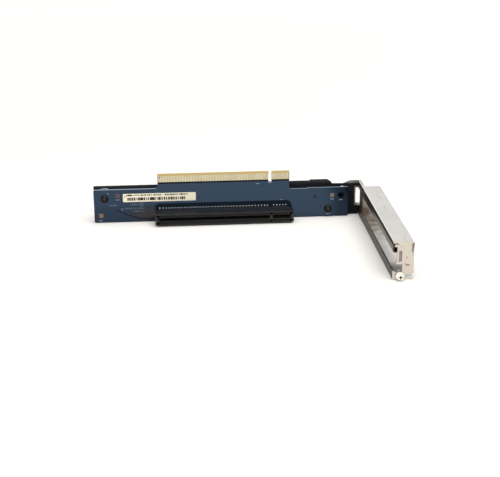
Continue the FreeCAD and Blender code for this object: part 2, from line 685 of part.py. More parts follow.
def make_cage():
    """Plated folded cage: wall with the card window, plates, end plate, rear stop and flange."""
    body = new_body("slot_cage")
    thick = d.cage_sheet
    left, right = d.cage_left, d.cage_right
    inner = left + thick
    top, floor = d.cage_top, d.rest_z
    rear = d.bracket_front + d.sheet
    section = new_sketch(body, "XZ", d.cage_near, "cage_section")
    polygon(section, (
        (left, floor), (right, floor), (right, floor + thick), (inner, floor + thick),
        (inner, top - thick), (right - thick, top - thick), (right - thick, d.right_lip_low),
        (right, d.right_lip_low), (right, top), (left, top)))
    pad(body, section, d.cage_far - d.cage_near, backwards=True)
    root = new_sketch(body, "XZ", d.cage_far, "root_section")
    polygon(root, (
        (left, floor), (inner, floor), (inner, top - thick), (left + d.root_width, top - thick),
        (left + d.root_width, top), (left, top)))
    pad(body, root, rear + thick - d.cage_far, backwards=True)
    flange = new_sketch(body, "XZ", rear, "rear_flange")
    polygon(flange, (
        (d.rear_left, d.rear_low), (inner, d.rear_low), (inner, top), (d.rear_corner_x, top),
        (d.rear_left, d.rear_corner_z)))
    pad(body, flange, thick, backwards=True)
    stop = new_sketch(body, "YZ", inner, "rear_stop_section")
    stop_back = d.stop_face + thick
    polygon(stop, (
        (d.cage_far, floor), (stop_back, floor), (stop_back, d.stop_top),
        (d.stop_face, d.stop_top), (d.stop_face, floor + thick), (d.cage_far, floor + thick)))
    pad(body, stop, right - inner - d.stop_gap)
    slit = new_sketch(body, "XY", floor + thick, "rear_stop_slit")
    rectangle(slit, inner, inner + d.stop_gap, d.stop_face - BEYOND, stop_back + BEYOND)
    pocket(body, slit, d.stop_top, forwards=True)

    window = new_sketch(body, "YZ", left - BEYOND, "card_window")
    rectangle(window, d.cage_near - BEYOND, d.cage_far, d.window_low, d.rim_low)
    pocket(body, window, thick + BEYOND, forwards=True)
    tongue = new_sketch(body, "XY", d.tongue_low, "tongue_slot")
    rectangle(tongue, d.tongue_left, inner + d.stop_gap, d.tongue_front, rear + thick + BEYOND)
    pocket(body, tongue, d.tongue_high - d.tongue_low, forwards=True)
    make_end_plate(body, inner)
    rivets = new_sketch(body, "XZ", rear, "rivet_holes")
    for z in (d.rivet_low_z, d.rivet_high_z):
        circle(rivets, d.rivet_x, z, d.rivet_radius)
    pocket(body, rivets, thick)

    keel = fillet(body, body.Tip, d.cage_bend, ALONG_Y, lambda p: (
        near(p.x, left) and near(p.z, floor)))
    fillet(body, keel, d.cage_bend, ALONG_Y, lambda p: (
        near(p.z, top) and (near(p.x, left) or near(p.x, right))))
    return body


def make_end_plate(body, inner):
    """Close the cage's near end: end plate, arm to the wall, strap, screw lug and relief cuts."""
    thick, right, top = d.cage_sheet, d.cage_right, d.cage_top
    end_plate = new_sketch(body, "XZ", d.cage_near, "end_plate")
    polygon(end_plate, (
        (d.plate_left, top), (right, top), (right, d.plate_low + d.plate_corner),
        (right - d.plate_corner, d.plate_low), (d.plate_low_left, d.plate_low),
        (d.plate_low_left, d.plate_shelf), (d.strap_right, d.plate_shelf),
        (d.strap_right, d.strap_low), (d.plate_left, d.strap_low_right),
        (d.plate_left, d.strap_high), (d.strap_right, d.strap_high), (d.strap_right, d.arm_low),
        (inner, d.arm_low), (inner, d.arm_high), (d.tear_left, d.arm_high)))
    pad(body, end_plate, thick, backwards=True)
    strap = new_sketch(body, "XZ", d.cage_near, "slot_strap")
    rectangle(strap, d.strap_left, d.strap_right, d.strap_low, d.arm_low)
    rectangle(strap, d.strap_foot_left, d.strap_right, d.plate_shelf, d.strap_low)
    pad(body, strap, thick, backwards=True)
    lug = new_sketch(body, "XZ", d.cage_near, "screw_lug")
    rectangle(lug, d.lug_left, d.lug_right, d.rest_z, d.lug_top)
    pad(body, lug, thick, backwards=True)
    cuts = new_sketch(body, "XZ", d.cage_near, "end_plate_cuts")
    circle(cuts, d.card_screw_x, d.card_screw_z, d.thread_radius)
    gap_right = right - thick
    rectangle(cuts, gap_right - d.side_gap, gap_right, d.side_gap_low, d.side_gap_high)
    polygon(cuts, (
        (d.tear_left, d.arm_high - d.tear_width), (d.tear_right, d.tear_low),
        (d.tear_right, d.tear_low + d.tear_width), (d.tear_left, d.arm_high + d.tear_width)))
    pocket(body, cuts, thick)


def make_rail():
    """U-shaped guide rail under the cage's rim, with its outer leg along the card window."""
    body = new_body("upper_guide_rail")
    left = d.cage_left
    right = left + d.rail_width
    skin = d.rail_sheet
    section = new_sketch(body, "XZ", d.cage_near + d.cage_sheet, "rail_section")
    polygon(section, (
        (left, d.rail_low), (right, d.rail_low), (right, d.cage_top - d.cage_sheet),
        (right - skin, d.cage_top - d.cage_sheet), (right - skin, d.rail_low + skin),
        (left + skin, d.rail_low + skin), (left + skin, d.rail_lip), (left, d.rail_lip)))
    length = d.cage_far - d.cage_near - d.cage_sheet - d.rail_gap
    channel = pad(body, section, length, backwards=True)
    outside = fillet(body, channel, d.rail_bend_outside, ALONG_Y, lambda p: near(p.z, d.rail_low))
    fillet(body, outside, d.rail_bend_inside, ALONG_Y, lambda p: near(p.z, d.rail_low + skin))
    return body


# A rivet head's outline, as shares of its radius and of its crown's height.
RIVET_HEAD = ((0.6, 0.8), (1.0, 0.0))


def make_rivet(label, z):
    """Domed rivet through the carrier bracket and the rear flange."""
    body = new_body(label)
    x, shank = d.rivet_x, d.rivet_x + d.rivet_radius
    front = d.bracket_front
    back = front + d.sheet + d.cage_sheet
    profile = new_sketch(body, "XY", z, label + "_profile")
    head = [(x + d.rivet_head * out, d.rivet_crown * high) for out, high in RIVET_HEAD]
    corners = [(x, front - d.rivet_crown)]
    corners += [(out, front - high) for out, high in head]
    corners += [(shank, front), (shank, back)]
    corners += [(out, back + high) for out, high in reversed(head)]
    corners += [(x, back + d.rivet_crown)]
    polygon(profile, corners)
    turn(body, profile, len(corners))
    return body


def make_washer():
    """External-tooth lock washer under the card screw's head, drawn about the screw's axis."""
    body = new_body("card_screw_washer")
    front = d.cage_near - d.washer_thick
    ring = new_sketch(body, "XZ", front, "washer_ring")
    tooth = new_sketch(body, "XZ", front, "washer_tooth")
    for sketch in (ring, tooth):
        bind(sketch, "AttachmentOffset.Base.x", d.card_screw_x)
        bind(sketch, "AttachmentOffset.Base.y", d.card_screw_z)
    circle(ring, 0, 0, d.washer_ring)
    circle(ring, 0, 0, d.thread_radius + d.washer_gap)
    pad(body, ring, d.washer_thick, backwards=True)
    half = d.washer_tooth / 2
    rectangle(tooth, ZERO - half, half, d.washer_ring - half, d.washer_reach)
    spike = pad(body, tooth, d.washer_thick, backwards=True)
    around = body.newObject("PartDesign::PolarPattern", "washer_teeth")
    around.Originals = [spike]
    around.Axis = (ring, ["N_Axis"])
    around.Angle = 360
    bind(around, "Occurrences", d.washer_teeth)
    body.Tip = around
    doc.recompute()
    return body


def main():
    parts = [
        make_board(),
        make_fingers("edge_contacts_front", 0, True),
        make_fingers("edge_contacts_back", d.board_thick, False),
        make_label(),
        make_pads(),
        make_housing(),
        make_contacts("slot_contacts_upper", 1),
        make_contacts("slot_contacts_lower", -1),
        make_bracket(),
        make_spacer("board_spacer_left", d.screw_left_x, d.screw_left_z),
        make_spacer("board_spacer_right", d.screw_right_x, d.screw_right_z),
        make_screw("board_screw_left", d.screw_left_x, d.screw_left_z, ZERO, d.board_head,
                   d.board_head_high, d.bracket_front + d.sheet + d.board_shank),
        make_screw("board_screw_right", d.screw_right_x, d.screw_right_z, ZERO, d.board_head,
                   d.board_head_high, d.bracket_front + d.sheet + d.board_shank),
        make_cage(),
        make_rail(),
        make_rivet("cage_rivet_lower", d.rivet_low_z),
        make_rivet("cage_rivet_upper", d.rivet_high_z),
        make_washer(),
        make_screw("card_screw", d.card_screw_x, d.card_screw_z, d.cage_near - d.washer_thick,
                   d.card_head, d.card_head_high, d.cage_near + d.cage_sheet + d.card_shank),
    ]
    doc.recompute()
    for item in doc.Objects:
        if "Invalid" in item.State or "Error" in item.State:
            raise RuntimeError("%s failed: %s" % (item.Label, item.State))
    for part in parts:
        if part.Shape.isNull() or not part.Shape.isValid():
            raise RuntimeError("%s has no valid shape" % part.Label)
    os.makedirs("parts", exist_ok=True)
    for part in parts:
        part.Shape.exportStep("parts/%s.step" % part.Label)
        print(part.Label, len(part.Shape.Solids), "solids", round(part.Shape.Volume, 1), "mm3")


main()
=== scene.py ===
"""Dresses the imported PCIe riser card: finishes, solder, print, fasteners, studio and camera.

Places on the card are given in millimetres from its own datum: the left end of the slot
housing, the front face of the board and the board's lower edge. CardSpace finds that datum in
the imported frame, so that every piece made here sits on the solid that carries it.
"""

import logging
import math
import random
from contextlib import contextmanager
from dataclasses import dataclass
from enum import Enum, IntEnum
from typing import Callable, Iterator, Optional, Sequence, Union

import bmesh
import bpy
from mathutils import Matrix, Vector


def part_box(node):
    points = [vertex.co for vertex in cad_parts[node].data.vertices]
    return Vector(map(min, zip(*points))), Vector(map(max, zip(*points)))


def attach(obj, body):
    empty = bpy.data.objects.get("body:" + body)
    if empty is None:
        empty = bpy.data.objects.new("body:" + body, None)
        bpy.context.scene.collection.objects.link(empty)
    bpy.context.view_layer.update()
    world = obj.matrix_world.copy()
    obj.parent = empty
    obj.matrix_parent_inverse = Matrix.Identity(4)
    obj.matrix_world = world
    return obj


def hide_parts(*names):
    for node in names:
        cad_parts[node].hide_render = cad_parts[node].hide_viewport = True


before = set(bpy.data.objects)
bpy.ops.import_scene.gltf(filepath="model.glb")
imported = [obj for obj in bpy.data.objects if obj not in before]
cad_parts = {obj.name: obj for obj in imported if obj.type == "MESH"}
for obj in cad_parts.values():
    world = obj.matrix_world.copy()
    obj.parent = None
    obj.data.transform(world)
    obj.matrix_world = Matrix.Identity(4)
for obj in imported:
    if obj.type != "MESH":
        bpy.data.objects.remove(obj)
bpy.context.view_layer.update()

logging.basicConfig(level=logging.INFO, format="%(name)s: %(message)s")
log = logging.getLogger("riser_card")

MM = 0.001
ROOT = "root"
Colour = tuple[float, float, float, float]
Element = Union[bmesh.types.BMFace, bmesh.types.BMEdge]


# ---------------------------------------------------------------- colours and nodes

def linear(sheet_colour: str) -> Colour:
    """Turn an sRGB hex colour into a linear one.

    Args:
        sheet_colour: six hex digits, such as "2E4157".

    Returns:
        Linear red, green and blue, and an alpha of 1.
    """
    parts = (int(sheet_colour[place:place + 2], 16) / 255 for place in (0, 2, 4))
    red, green, blue = (
        part / 12.92 if part <= 0.04045 else ((part + 0.055) / 1.055) ** 2.4 for part in parts)
    return red, green, blue, 1.0


def add_node(tree: bpy.types.NodeTree, kind: str, feeds: Optional[dict] = None,
             **settings: object) -> bpy.types.Node:
    """Add one node with its settings and links.

    Args:
        tree: the node tree of a material or of the world.
        kind: the node's type name.
        feeds: for an input's name or number, its value or the output socket that feeds it.
        settings: the node's own attributes, set before its inputs.

    Returns:
        The new node.
    """
    made = tree.nodes.new(kind)
    for name, value in settings.items():
        setattr(made, name, value)
    for place, feed in (feeds or {}).items():
        if isinstance(feed, bpy.types.NodeSocket):
            tree.links.new(feed, made.inputs[place])
        else:
            made.inputs[place].default_value = feed
    return made


def per_metre(spacing_mm: float) -> float:
    """Texture scale that gives a pattern this spacing on Object coordinates."""
    return 1.0 / (spacing_mm * MM)


class MixSocket(IntEnum):
    """Numbers of a colour Mix node's sockets, whose names repeat for each data type."""

    FACTOR = 0
    FIRST = 6
    SECOND = 7
    RESULT = 2


# A noise seldom leaves this range, so a pattern is spread over it.
NOISE_LOW = 0.35
NOISE_HIGH = 0.65
# The gloss of a finish varies between these shares of its roughness.
GLOSS_LOW = 0.8
GLOSS_HIGH = 1.2
# A wave texture turns this many radians over one unit of its scale.
WAVE_TURN = 20.0


# ---------------------------------------------------------------- finishes

@dataclass(frozen=True)
class Finish:
    """A surface with a mottled colour and gloss and a fine bump.

    The mottling has two sizes: a cloud that shifts the colour over centimetres, as handling
    and uneven coating do, and a grain that breaks up the gloss.
    """

    name: str
    colour: str
    tint: str
    roughness: float
    metallic: float = 0.0
    ior: float = 1.5
    specular: float = 0.5
    shine: str = "FFFFFF"
    cloud_mm: float = 12.0
    grain_mm: float = 0.35
    grain_along: tuple[float, float, float] = (1.0, 1.0, 1.0)
    bump_mm: float = 0.01
    bump_share: float = 0.2

    def build(self) -> bpy.types.Material:
        """Make the node material.

        Returns:
            The material, ready for a slot.
        """
        material, tree, shader = self.start()
        self.surface(tree, shader)
        return material

    def start(self) -> tuple[bpy.types.Material, bpy.types.NodeTree, bpy.types.Node]:
        """Make the material with its shader and output alone.

        Returns:
            The material, its node tree and its Principled node.
        """
        material = bpy.data.materials.new(self.name)
        material.use_nodes = True
        tree = material.node_tree
        tree.nodes.clear()
        shader = add_node(tree, "ShaderNodeBsdfPrincipled", {
            "Metallic": self.metallic, "Specular IOR Level": self.specular,
            "Specular Tint": linear(self.shine)})
        if not self.metallic:
            shader.inputs["IOR"].default_value = self.ior
        add_node(tree, "ShaderNodeOutputMaterial", {"Surface": shader.outputs["BSDF"]})
        return material, tree, shader

    def surface(self, tree: bpy.types.NodeTree, shader: bpy.types.Node) -> None:
        """Feed colour, roughness and bump to the shader.

        Args:
            tree: the material's node tree.
            shader: its Principled node.
        """
        place = add_node(tree, "ShaderNodeTexCoord").outputs["Object"]
        colour = self.base_colour(tree, place)
        along = add_node(tree, "ShaderNodeMapping", {
            "Vector": place, "Scale": self.grain_along}).outputs["Vector"]
        grain = add_node(tree, "ShaderNodeTexNoise", {
            "Vector": along, "Scale": per_metre(self.grain_mm), "Detail": 4.0,
            "Roughness": 0.6}).outputs["Fac"]
        gloss = add_node(tree, "ShaderNodeMapRange", {
            "Value": grain, "To Min": self.roughness * GLOSS_LOW,
            "To Max": self.roughness * GLOSS_HIGH}).outputs["Result"]
        relief = add_node(tree, "ShaderNodeBump", {
            "Height": grain, "Strength": self.bump_share,
            "Distance": self.bump_mm * MM}).outputs["Normal"]
        tree.links.new(colour, shader.inputs["Base Color"])
        tree.links.new(gloss, shader.inputs["Roughness"])
        tree.links.new(relief, shader.inputs["Normal"])

    def base_colour(self, tree: bpy.types.NodeTree,
                    place: bpy.types.NodeSocket) -> bpy.types.NodeSocket:
        """Shift the colour in soft clouds.

        Args:
            tree: the material's node tree.
            place: Object coordinates.

        Returns:
            The colour's socket.
        """
        cloud = add_node(tree, "ShaderNodeTexNoise", {
            "Vector": place, "Scale": per_metre(self.cloud_mm), "Detail": 3.0})
        share = add_node(tree, "ShaderNodeMapRange", {
            "Value": cloud.outputs["Fac"], "From Min": NOISE_LOW,
            "From Max": NOISE_HIGH}).outputs["Result"]
        return add_node(tree, "ShaderNodeMix", {
            MixSocket.FACTOR: share, MixSocket.FIRST: linear(self.colour),
            MixSocket.SECOND: linear(self.tint)}, data_type="RGBA").outputs[MixSocket.RESULT]


@dataclass(frozen=True)
class BoardFinish(Finish):
    """Glass-epoxy laminate under blue solder mask, with the mask left off the edge contacts.

    The mask is almost black in itself: what reads as slate blue is the bright room, mirrored by
    the copper under it. Its mirror is weakened as painted shade towards the left end and the
    lower edge, and weakened past a place near the right end. Tracks show as faint upright
    stripes between the tab and the slot.
    """

    laminate: str = "9C9277"
    sawn_edge: str = "7C8895"
    bevel: str = "BD9F51"
    track: str = "070B11"
    track_pitch_mm: float = 1.0
    track_share: float = 0.5
    track_fade: float = 2 * MM
    bare_from: float = 0.0
    bevel_from: float = 0.0
    tracks_from: float = 0.0
    # X of the board's left end, of the slot's left end and of where the mirror starts to fade
    # at the right. Below the height that follows, the mirror is weakened as painted shade.
    mirror_fade_ends: tuple[float, float, float] = (0.0, 0.0, 0.0)
    shaded_below: float = 0.0
    low_fade: float = 3 * MM
    right_fade: float = 14 * MM
    # How strongly the board mirrors: low at its left end and low beside the slot as painted shade,
    # higher up beside the slot, full in the middle, and lower past the right fade.
    shine_left: float = 0.74
    shine_by_slot: float = 0.62
    shine_high: float = 0.9
    shine_full: float = 1.0
    shine_right: float = 0.5
    # A painted brown reflection on the mask beside the slot: its colour, strength, middle and
    # reach.
    brown: str = "E8D2C4"
    painted_reflection_share: float = 0.85
    painted_reflection_at: tuple[float, float] = (0.0, 0.0)
    painted_reflection_reach: tuple[float, float] = (1.0, 1.0)
    sawn_below: float = 0.3

    def surface(self, tree: bpy.types.NodeTree, shader: bpy.types.Node) -> None:
        """Add to the usual surface how strongly the copper under the mask mirrors the room.

        Args:
            tree: the material's node tree.
            shader: its Principled node.
        """
        super().surface(tree, shader)
        place = add_node(tree, "ShaderNodeTexCoord").outputs["Object"]
        axes = add_node(tree, "ShaderNodeSeparateXYZ", {"Vector": place})
        tree.links.new(self.mirrored(tree, axes), shader.inputs["Specular IOR Level"])
        tree.links.new(self.mirror_tint(tree, axes), shader.inputs["Specular Tint"])

    def mirrored(self, tree: bpy.types.NodeTree, axes: bpy.types.Node) -> bpy.types.NodeSocket:
        """Mirror less at the lower left as painted shade, and less past the right fade.

        Args:
            tree: the material's node tree.
            axes: the node that splits Object coordinates.

        Returns:
            The socket of the shader's specular level.
        """
        along, up = axes.outputs["X"], axes.outputs["Z"]
        left, inner, right = self.mirror_fade_ends
        dull_left = add_node(tree, "ShaderNodeMapRange", {
            "Value": along, "From Min": left, "From Max": inner,
            "To Min": self.shine_left, "To Max": self.shine_by_slot},
            interpolation_type="SMOOTHSTEP").outputs["Result"]
        along_board = add_node(tree, "ShaderNodeMapRange", {
            "Value": along, "From Min": right, "From Max": right + self.right_fade,
            "To Min": self.shine_full, "To Max": self.shine_right},
            interpolation_type="SMOOTHSTEP").outputs["Result"]
        beside_slot = add_node(tree, "ShaderNodeMath", {0: along, 1: inner},
                               operation="LESS_THAN").outputs["Value"]
        above = add_node(tree, "ShaderNodeMapRange", {
            "Value": up, "From Min": self.shaded_below,
            "From Max": self.shaded_below + self.low_fade},
            interpolation_type="SMOOTHSTEP").outputs["Result"]
        left_share = add_node(tree, "ShaderNodeMapRange", {
            "Value": above, "To Min": dull_left, "To Max": self.shine_high}).outputs["Result"]
        share = add_node(tree, "ShaderNodeMix", {
            "Factor": beside_slot, "A": along_board, "B": left_share}).outputs["Result"]
        return add_node(tree, "ShaderNodeMath", {0: share, 1: self.specular},
                        operation="MULTIPLY").outputs["Value"]

    def mirror_tint(self, tree: bpy.types.NodeTree,
                    axes: bpy.types.Node) -> bpy.types.NodeSocket:
        """Turn the shine brown beside the slot, as a painted brown reflection on the mask.

        Args:
            tree: the material's node tree.
            axes: the node that splits Object coordinates.

        Returns:
            The socket of the shader's specular tint.
        """
        off_x = add_node(tree, "ShaderNodeMath", {
            0: axes.outputs["X"], 1: self.painted_reflection_at[0]}, operation="SUBTRACT").outputs["Value"]
        off_z = add_node(tree, "ShaderNodeMath", {
            0: axes.outputs["Z"], 1: self.painted_reflection_at[1]}, operation="SUBTRACT").outputs["Value"]
        wide, tall = self.painted_reflection_reach
        squashed = add_node(tree, "ShaderNodeMath", {0: off_z, 1: wide / tall},
                            operation="MULTIPLY").outputs["Value"]
        away = add_node(tree, "ShaderNodeCombineXYZ", {"X": off_x, "Y": squashed})
        reach = add_node(tree, "ShaderNodeVectorMath", {0: away.outputs["Vector"]},
                         operation="LENGTH").outputs["Value"]
        brown = add_node(tree, "ShaderNodeMapRange", {
            "Value": reach, "From Min": wide, "From Max": 0.0, "To Max": self.painted_reflection_share},
            interpolation_type="SMOOTHSTEP").outputs["Result"]
        return add_node(tree, "ShaderNodeMix", {
            MixSocket.FACTOR: brown, MixSocket.FIRST: linear(self.shine),
            MixSocket.SECOND: linear(self.brown)}, data_type="RGBA").outputs[MixSocket.RESULT]

    def base_colour(self, tree: bpy.types.NodeTree,
                    place: bpy.types.NodeSocket) -> bpy.types.NodeSocket:
        """Lay mask, tracks, bare laminate and bevel by height, and the sawn edge by its side.

        Args:
            tree: the material's node tree.
            place: Object coordinates.

        Returns:
            The colour's socket.
        """
        mask = super().base_colour(tree, place)
        height = add_node(tree, "ShaderNodeSeparateXYZ", {"Vector": place}).outputs["Z"]
        stripes = add_node(tree, "ShaderNodeTexWave", {
            "Vector": place, "Scale": per_metre(self.track_pitch_mm) * math.tau / WAVE_TURN},
            bands_direction="X").outputs["Fac"]
        above_slot = add_node(tree, "ShaderNodeMapRange", {
            "Value": height, "From Min": self.tracks_from,
            "From Max": self.tracks_from + self.track_fade,
            "To Max": self.track_share}).outputs["Result"]
        shown = add_node(tree, "ShaderNodeMath", {0: stripes, 1: above_slot},
                         operation="MULTIPLY").outputs["Value"]
        colour = add_node(tree, "ShaderNodeMix", {
            MixSocket.FACTOR: shown, MixSocket.FIRST: mask,
            MixSocket.SECOND: linear(self.track)}, data_type="RGBA").outputs[MixSocket.RESULT]
        for start, above in ((self.bare_from, self.laminate), (self.bevel_from, self.bevel)):
            over = add_node(tree, "ShaderNodeMath", {0: height, 1: start},
                            operation="GREATER_THAN").outputs["Value"]
            colour = add_node(tree, "ShaderNodeMix", {
                MixSocket.FACTOR: over, MixSocket.FIRST: colour,
                MixSocket.SECOND: linear(above)}, data_type="RGBA").outputs[MixSocket.RESULT]
        facing = add_node(tree, "ShaderNodeTexCoord").outputs["Normal"]
        level = add_node(tree, "ShaderNodeVectorMath", {0: facing}, operation="ABSOLUTE")
        across = add_node(tree, "ShaderNodeSeparateXYZ", {
            "Vector": level.outputs["Vector"]}).outputs["Y"]
        sawn = add_node(tree, "ShaderNodeMath", {0: across, 1: self.sawn_below},
                        operation="LESS_THAN").outputs["Value"]
        below_tab = add_node(tree, "ShaderNodeMath", {0: height, 1: self.bevel_from},
                             operation="LESS_THAN").outputs["Value"]
        edge = add_node(tree, "ShaderNodeMath", {0: sawn, 1: below_tab},
                        operation="MULTIPLY").outputs["Value"]
        return add_node(tree, "ShaderNodeMix", {
            MixSocket.FACTOR: edge, MixSocket.FIRST: colour,
            MixSocket.SECOND: linear(self.sawn_edge)}, data_type="RGBA").outputs[MixSocket.RESULT]


@dataclass(frozen=True)
class SheetFinish(Finish):
    """Pre-plated steel sheet: pale, with the faint straight scratches of card after card."""

    scratch: str = "9C9A94"
    scratch_mm: float = 1.6
    scratch_turn: float = 28.0
    scratch_stretch: float = 0.09
    scratch_faint: float = 0.64
    scratch_full: float = 0.78
    scratch_share: float = 0.4

    def base_colour(self, tree: bpy.types.NodeTree,
                    place: bpy.types.NodeSocket) -> bpy.types.NodeSocket:
        """Draw thin scratches over the cloudy plating.

        Args:
            tree: the material's node tree.
            place: Object coordinates.

        Returns:
            The colour's socket.
        """
        plating = super().base_colour(tree, place)
        turned = add_node(tree, "ShaderNodeMapping", {
            "Vector": place, "Rotation": (0.0, 0.0, math.radians(self.scratch_turn)),
            "Scale": (1.0, self.scratch_stretch, 1.0)}).outputs["Vector"]
        streaks = add_node(tree, "ShaderNodeTexNoise", {
            "Vector": turned, "Scale": per_metre(self.scratch_mm), "Detail": 2.0}).outputs["Fac"]
        lines = add_node(tree, "ShaderNodeMapRange", {
            "Value": streaks, "From Min": self.scratch_faint, "From Max": self.scratch_full,
            "To Max": self.scratch_share}).outputs["Result"]
        return add_node(tree, "ShaderNodeMix", {
            MixSocket.FACTOR: lines, MixSocket.FIRST: plating,
            MixSocket.SECOND: linear(self.scratch)}, data_type="RGBA").outputs[MixSocket.RESULT]


@dataclass(frozen=True)
class ShadedSheetFinish(SheetFinish):
    """Plated sheet with painted shade, full from one place along Y on and faint before another.

    A band of painted shade may lie across it. Its place is out of reach unless it is given.
    """

    shade_tone: str = "6B5B4C"
    shade_blotch_mm: float = 5.0
    shaded_at: float = 0.0
    shaded_share: float = 0.95
    lit_at: float = 1.0
    lit_share: float = 0.08
    blotch_low: float = 0.6
    blotch_high: float = 1.1
    shade_band_tone: str = "7C7779"
    shade_band_share: float = 0.92
    shade_band_at: float = -1.0
    shade_band_reach: float = 13 * MM
    shade_band_core: float = 0.3

    def base_colour(self, tree: bpy.types.NodeTree,
                    place: bpy.types.NodeSocket) -> bpy.types.NodeSocket:
        """Lay blotches of painted shade over the plating, thicker towards the shaded end.

        Args:
            tree: the material's node tree.
            place: Object coordinates.

        Returns:
            The colour's socket.
        """
        plating = super().base_colour(tree, place)
        depth = add_node(tree, "ShaderNodeSeparateXYZ", {"Vector": place}).outputs["Y"]
        thick = add_node(tree, "ShaderNodeMapRange", {
            "Value": depth, "From Min": self.lit_at, "From Max": self.shaded_at,
            "To Min": self.lit_share, "To Max": self.shaded_share}).outputs["Result"]
        blotch = add_node(tree, "ShaderNodeTexNoise", {
            "Vector": place, "Scale": per_metre(self.shade_blotch_mm), "Detail": 3.0}).outputs["Fac"]
        uneven = add_node(tree, "ShaderNodeMapRange", {
            "Value": blotch, "From Min": NOISE_LOW, "From Max": NOISE_HIGH,
            "To Min": self.blotch_low, "To Max": self.blotch_high}).outputs["Result"]
        share = add_node(tree, "ShaderNodeMath", {0: thick, 1: uneven}, operation="MULTIPLY",
                         use_clamp=True).outputs["Value"]
        shaded_plating = add_node(tree, "ShaderNodeMix", {
            MixSocket.FACTOR: share, MixSocket.FIRST: plating,
            MixSocket.SECOND: linear(self.shade_tone)}, data_type="RGBA").outputs[MixSocket.RESULT]
        offset = add_node(tree, "ShaderNodeMath", {0: depth, 1: self.shade_band_at},
                          operation="SUBTRACT").outputs["Value"]
        away = add_node(tree, "ShaderNodeMath", {0: offset}, operation="ABSOLUTE").outputs["Value"]
        band = add_node(tree, "ShaderNodeMapRange", {
            "Value": away, "From Min": self.shade_band_reach,
            "From Max": self.shade_band_core * self.shade_band_reach,
            "To Max": self.shade_band_share}).outputs["Result"]
        return add_node(tree, "ShaderNodeMix", {
            MixSocket.FACTOR: band, MixSocket.FIRST: shaded_plating,
            MixSocket.SECOND: linear(self.shade_band_tone)}, data_type="RGBA").outputs[MixSocket.RESULT]


# Hard gold over nickel on copper: pale, warm and only half polished, worn along the insertion.
HARD_GOLD = Finish("hard_gold_plating", "CFC19A", "DAD2B6", 0.34, metallic=1.0, cloud_mm=6.0,
                   grain_mm=0.3, grain_along=(1.0, 1.0, 0.15))
# Uncoated copper test pads that the air has browned.
BARE_COPPER = Finish("bare_oxidised_copper", "765E50", "856C5C", 0.45, metallic=0.9, cloud_mm=1.5)
# The same pads under flux residue: pinkish and duller.
DULL_COPPER = Finish("copper_under_flux", "644C51", "54434A", 0.5, metallic=0.6, cloud_mm=1.5)
# Pads levelled with hot tin: grey beige with a soft shine.
TINNED_COPPER = Finish("hot_tinned_copper", "746A63", "827770", 0.42, metallic=0.8, cloud_mm=1.5)
# Copper that the oven has turned nearly black. The same near black paints the shade in the
# card screw's cross recess.
SCORCHED_COPPER_AND_RECESS_SHADE = Finish("scorched_copper_and_recess_shade", "1A1614", "241E1A", 0.5, metallic=0.5, cloud_mm=0.8)
# Coated label paper, thermal-printed: cream, matt, with a slight waviness from its glue.
LABEL_PAPER = Finish("coated_label_paper", "EBE3C8", "F0E9D2", 0.55, cloud_mm=5.0, grain_mm=0.5,
                     specular=0.35)
LABEL_INK = Finish("thermal_print", "12100E", "201C18", 0.6, specular=0.2, cloud_mm=1.0)
# Silkscreen ink: chalky, and thin enough that the blue shows through at its edges.
SILKSCREEN = Finish("silkscreen_ink", "8592A0", "738191", 0.6, cloud_mm=1.0)
FADED_INK = Finish("worn_silkscreen_ink", "4F6175", "425265", 0.55, cloud_mm=1.0)
# Mask over copper lands and over the feet of the contacts: thinner, so the edge shows darker.
# The same near black lines the spare hole as painted shade.
THIN_MASK_AND_HOLE_SHADE = Finish("thin_solder_mask_and_hole_shade", "07090C", "050608", 0.4, specular=0.12, cloud_mm=2.0)
# Mask that tents a via: the blue of its surroundings, only a little duller.
TENTED_MASK = Finish("tented_solder_mask", "0A0E14", "0C1016", 0.12, specular=0.85,
                     shine="A5CEFF", cloud_mm=2.0)
# Reflowed solder, painted near white as a painted highlight, with the soft ripple of a surface
# that froze.
HIGHLIGHTED_SOLDER = Finish("solder_painted_highlight", "FAFAF9", "F2F3F3", 0.45, metallic=0.2, cloud_mm=0.6,
                grain_mm=0.2, bump_mm=0.02)
# Moulded glass-filled nylon: near black, its gloss broken by the eroded mould's fine grit.
BLACK_NYLON = Finish("moulded_black_nylon", "131313", "191918", 0.38, specular=0.42,
                     cloud_mm=8.0, grain_mm=0.25, bump_mm=0.015, bump_share=0.35)
# The same nylon inside a mould pocket, near black and matt as painted shade, so the pocket
# reads as a black square.
POCKET_SHADE_NYLON = Finish("nylon_painted_pocket_shade", "030303", "060606", 0.9, specular=0.1,
                      cloud_mm=2.0)
# The walls that a card slides along: dull dark grey, painted lighter as painted light in the slot.
MOUTH_LIGHT_NYLON = Finish("nylon_painted_light_in_mouth", "2C2C2B", "343433", 0.7, specular=0.2,
                       cloud_mm=3.0)
# Phosphor bronze, stamped and formed, darkened as painted shade: it hardly shows inside the slot.
SHADED_CONTACT_BRONZE = Finish("phosphor_bronze_painted_shade", "3F3E3C", "4A4844", 0.4, metallic=1.0,
                     cloud_mm=2.0)
# Black electro-dip paint on steel: very dark, even and matt, with a low orange-peel.
BLACK_PAINT = Finish("black_dip_paint", "1A1B1E", "202125", 0.6, specular=0.03, cloud_mm=14.0,
                     grain_mm=0.6, bump_mm=0.02, bump_share=0.3)
# The rim of the raised pads is painted pale steel grey: a painted highlight along the bevel.
PAD_RIM_HIGHLIGHT = Finish("pad_rim_painted_highlight", "62666A", "74787B", 0.4, metallic=0.4, cloud_mm=1.5)
# Flat washers of nickel-plated brass, hidden but for a warm glint in the gap.
SPACER_BRASS = Finish("nickelled_brass", "BDB49C", "C9C2AE", 0.3, metallic=1.0, cloud_mm=2.0)
